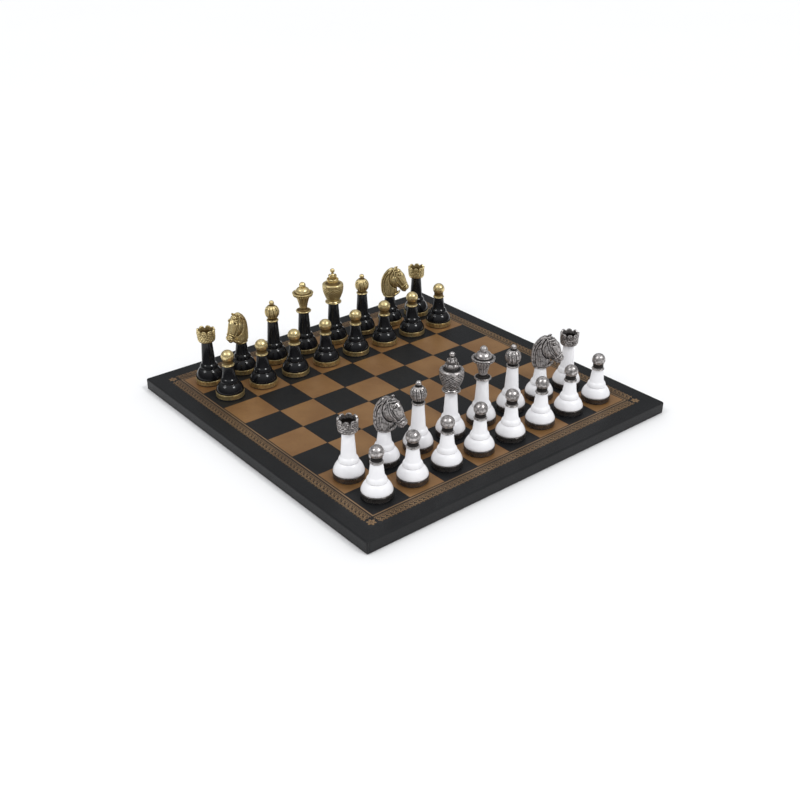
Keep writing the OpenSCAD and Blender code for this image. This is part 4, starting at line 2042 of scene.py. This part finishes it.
@dataclass
class LaceBorder:
    """The stamped lace: a row of rings, links and scallops that starts at a fine line."""

    inner: float
    width: float
    half_length: float
    low: float
    high: float
    repeats: int = 64
    layer: float = 0.004

    def motif(self, pitch: float) -> Surface:
        """One repeat, which runs along X from 0 to the pitch, its inner edge at Y 0.

        Strips that cross are laid a layer over one another, so no two tops share a plane.

        Args:
            pitch: the repeat's length.

        Returns:
            The ring, its dot, the link to the next ring, the scallop outside them and its buds.
        """
        w, lo, hi, layer = self.width, self.low, self.high, self.layer
        mid = pitch / 2
        ring = ribbon(arc((mid, w * 0.36), (pitch * 0.36, w * 0.21), 0, 324, 9), 0.62, lo, hi, True)
        dot = ribbon(np.array([(mid - 0.3, w * 0.36), (mid + 0.3, w * 0.36)]), 0.7, lo, hi + layer)
        t = np.linspace(0, 1, 5)
        wave = w * (0.60 - 0.44 * t + 0.12 * np.sin(FULL * t))
        link = np.stack([pitch * (0.18 + t * 0.98), wave], axis=1)
        scallop = arc((mid, w * 0.60), (pitch * 0.43, w * 0.26), 12, 168, 6)
        link, scallop = ribbon(link, 0.5, lo, hi - layer), ribbon(scallop, 0.6, lo, hi - 2 * layer)
        parts = [ring, dot, link, scallop]
        buds = ((mid, 0.62, 0.78, 0.9), (mid, 0.93, 1.02, 0.8), (0, 0.76, 0.94, 0.7))
        for place, start, end, width in buds:
            bud = np.array([(place, w * start), (place, w * end)])
            parts.append(ribbon(bud, width, lo, hi + 2 * layer))
        return joined(parts)

    def build(self) -> Surface:
        """Four sides of repeats, each along a fine line.

        Returns:
            The border.
        """
        half = self.half_length
        pitch = 2 * half / self.repeats
        one = self.motif(pitch)
        row = [one.placed((-half + k * pitch, self.inner, 0)) for k in range(self.repeats)]
        line = np.stack([np.linspace(-half, half, 9), np.full(9, self.inner + 0.25)], axis=1)
        side = joined([*row, ribbon(line, 0.45, self.low, self.high)])
        return joined(side.placed((0, 0, 0), k * math.pi / 2) for k in range(4))


@dataclass
class Rosettes:
    """The four corner flowers of the border."""

    centre: float
    radius: float
    low: float
    petals: int = 6

    def build(self) -> Surface:
        """Domed petals round a dot, at each corner of the border.

        Returns:
            The four flowers.
        """
        t = np.linspace(0, 1, 8)
        path = np.stack([self.radius * (0.24 + 0.76 * t), np.full(8, self.low + 0.05)], axis=1)
        widths = self.radius * 0.27 * np.sin(np.pi * (0.12 + 0.82 * t)) ** 0.8
        petal = leaf(path, widths, 0.09, rib=0.12)
        middle = pearl(self.radius * 0.17)
        middle.points[:, 2] = middle.points[:, 2] * 0.12 + self.low + 0.06
        flower = joined([crown_of(petal, self.petals), middle])
        spots = [(x * self.centre, y * self.centre, 0) for x in (-1, 1) for y in (-1, 1)]
        return joined(flower.placed(spot, 0.3) for spot in spots)


class Board:
    """The board: its cover and border are built here, and its other CAD nodes are dressed.

    Widths and heights of the foil are in millimetres; heights count from the cover's top.
    """

    body = "board"
    line_width = 1.2
    lace_width = 7.8
    foil_sunk = 0.12
    foil_proud = 0.02

    def __init__(self) -> None:
        """Takes the board's sizes from the frame."""
        low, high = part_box("board_cover")
        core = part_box("board_core")
        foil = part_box("bronze_squares")
        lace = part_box("border_lace")
        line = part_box("border_line")
        self.top = high.z / MM
        gap = Cover.gap
        self.cover = Cover(
            half=high.x / MM,
            bottom=low.z / MM,
            top=self.top,
            thickness=(high.x - core[1].x) / MM,
            square=(2 * foil[1].x / MM + gap) / Cover.files,
            line=(line[1].x / MM - self.line_width, line[1].x / MM),
            lace=(lace[1].x / MM - self.lace_width, lace[1].x / MM),
        )

    def build(self) -> None:
        """Builds the cover and the border, and dresses the nodes that stay."""
        inner, outer = self.cover.lace
        low, high = self.top - self.foil_sunk, self.top + self.foil_proud
        lace = LaceBorder(inner, outer - inner, inner - self.line_width, low, high)
        rosettes = Rosettes((inner + outer) / 2, (outer - inner) / 2, low)
        made = (
            ("cover_wrap", self.cover.build(), LEATHER, "board_cover"),
            ("lace_foil", lace.build(), GOLD_FOIL, "border_lace"),
            ("corner_flowers", rosettes.build(), GOLD_FOIL, "corner_rosettes"),
        )
        for name, surface, finish, node in made:
            piece = finish.put_on(surface.to_object(name))
            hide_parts(node)
            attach(piece, self.body)
            LOG.info("%s: %d faces", name, len(piece.data.polygons))
        for node, finish in (
            ("board_core", BOARD_CORE),
            ("board_lining", LINING),
            ("bronze_squares", BRONZE),
            ("border_line", GOLD_FOIL),
        ):
            frame["nodes"][node].data.materials.clear()
            frame["nodes"][node].data.materials.append(finish.material())


# ---------------------------------------------------------------- studio


@dataclass
class Studio:
    """The floor, the lights and the camera; lengths count in the board's squares."""

    square: float
    board_top: float
    azimuth: float = -39.38
    elevation: float = 28.1
    distance: float = 26.91
    aside: float = 0.009
    lift: float = -0.265
    lens: float = 47.24
    sensor: float = 36
    far: float = 50
    floor_reach: float = 12.0

    def axes(self) -> tuple[Vector, Vector, Vector]:
        """The camera's directions.

        Returns:
            Right, up and back.
        """
        a, e = math.radians(self.azimuth), math.radians(self.elevation)
        right = Vector((math.cos(a), math.sin(a), 0))
        back = Vector((math.sin(a) * math.cos(e), -math.cos(a) * math.cos(e), math.sin(e)))
        return right, back.cross(right), back

    def add_camera(self) -> None:
        """The camera at the object's viewing angle."""
        right, up, back = self.axes()
        data = bpy.data.cameras.new("camera")
        data.lens = self.lens
        data.sensor_width = self.sensor
        data.clip_end = self.far
        camera = bpy.data.objects.new("camera", data)
        spot = (right * self.aside + up * self.lift + back * self.distance) * self.square
        spot.z += self.board_top
        turn = Matrix((right, up, back)).transposed().to_4x4()
        camera.matrix_world = Matrix.Translation(spot) @ turn
        bpy.context.scene.collection.objects.link(camera)
        bpy.context.scene.camera = camera

    def add_light(self, name: str, way: Sequence[float], spread: float, power: float) -> None:
        """A large softbox far off: parallel light with a soft edge.

        Args:
            name: the light's name.
            way: its direction along the camera's right, up and back.
            spread: how wide it looks from the board, in degrees.
            power: its strength, in watts per square metre.
        """
        right, up, back = self.axes()
        data = bpy.data.lights.new(name, "SUN")
        data.angle = math.radians(spread)
        data.energy = power
        lamp = bpy.data.objects.new(name, data)
        direction = (right * way[0] + up * way[1] + back * way[2]).normalized()
        lamp.rotation_euler = direction.to_track_quat("Z", "Y").to_euler()
        bpy.context.scene.collection.objects.link(lamp)

    def add_world(self) -> None:
        """A white surround: plain white to the eye, even to matt surfaces, and dim to glossy ones.

        What a glossy surface sees grows from the horizon to overhead, as under a studio's ceiling.
        """
        world = bpy.data.worlds.new("surround")
        world.use_nodes = True
        world.node_tree.nodes.clear()
        nodes = Nodes(world.node_tree)
        path = nodes.add("LightPath")
        way = nodes.add("SeparateXYZ", {0: nodes.add("TexCoord").outputs["Generated"]})
        ceiling = nodes.span(way.outputs["Z"], 0.1, 1.0, (0.13, 0.75))
        seen = nodes.add("Background", {"Color": (1, 1, 1, 1), "Strength": 1.0})
        lit = nodes.add("Background", {"Color": (0.97, 0.98, 1, 1), "Strength": 0.75})
        glossy = nodes.add("Background", {"Color": (0.95, 0.97, 1, 1), "Strength": ceiling})
        shown = lit
        for ray, background in (("Is Glossy Ray", glossy), ("Is Camera Ray", seen)):
            ends = {0: path.outputs[ray], 1: shown.outputs[0], 2: background.outputs[0]}
            shown = nodes.add("MixShader", ends)
        nodes.add("OutputWorld", {"Surface": shown.outputs[0]})
        bpy.context.scene.world = world

    def add_floor(self) -> None:
        """A plain pale floor, with a faint unevenness of tone."""
        corners = [[(x, y, 0) for x in (-1, 1)] for y in (-1, 1)]
        points = self.floor_reach * np.array(corners, float)
        floor = grid(points, around=False).to_object("floor", 1.0)
        made = bpy.data.materials.new("pale_floor")
        made.use_nodes = True
        nodes = Nodes(made.node_tree)
        shader = made.node_tree.nodes["Principled BSDF"]
        mottle = group_node(nodes, mottle_group, {"Scale": 2.0})
        tone = nodes.mixed(mottle.outputs["Cloud"], (0.93, 0.93, 0.93), (0.95, 0.95, 0.95))
        made.node_tree.links.new(tone, shader.inputs["Base Color"])
        shader.inputs["Roughness"].default_value = 0.7
        floor.data.materials.append(made)

    def build(self) -> None:
        """Sets up the whole studio."""
        self.add_camera()
        self.add_world()
        self.add_floor()
        self.add_light("right_softbox", (0.557, 0.526, 0.643), 16, 0.95)
        self.add_light("left_softbox", (-0.557, 0.526, 0.643), 22, 0.65)
        bpy.context.scene.view_settings.view_transform = "Standard"


def chess_pieces() -> list[ChessPiece]:
    """Every chess piece of the frame, told by the words of its body's name.

    Returns:
        The chess pieces, in the frame's order.
    """
    found = []
    for name in frame["bodies"]:
        words = name.split("_")
        if words[0] not in (side.value for side in Side):
            continue
        kind = next(kind for kind in Kind if kind.value in words)
        found.append(ChessPiece(name, Side(words[0]), kind))
    return found


def main() -> None:
    """Builds the studio, the board and the chess pieces."""
    logging.basicConfig(level=logging.INFO, format="%(name)s %(message)s")
    board = Board()
    Studio(board.cover.square * MM, board.top * MM).build()
    board.build()
    workshop = Workshop()
    faces = sum(piece.build(workshop) for piece in chess_pieces())
    LOG.info("all chess pieces: %d faces", faces)


if __name__ == "__main__":
    main()
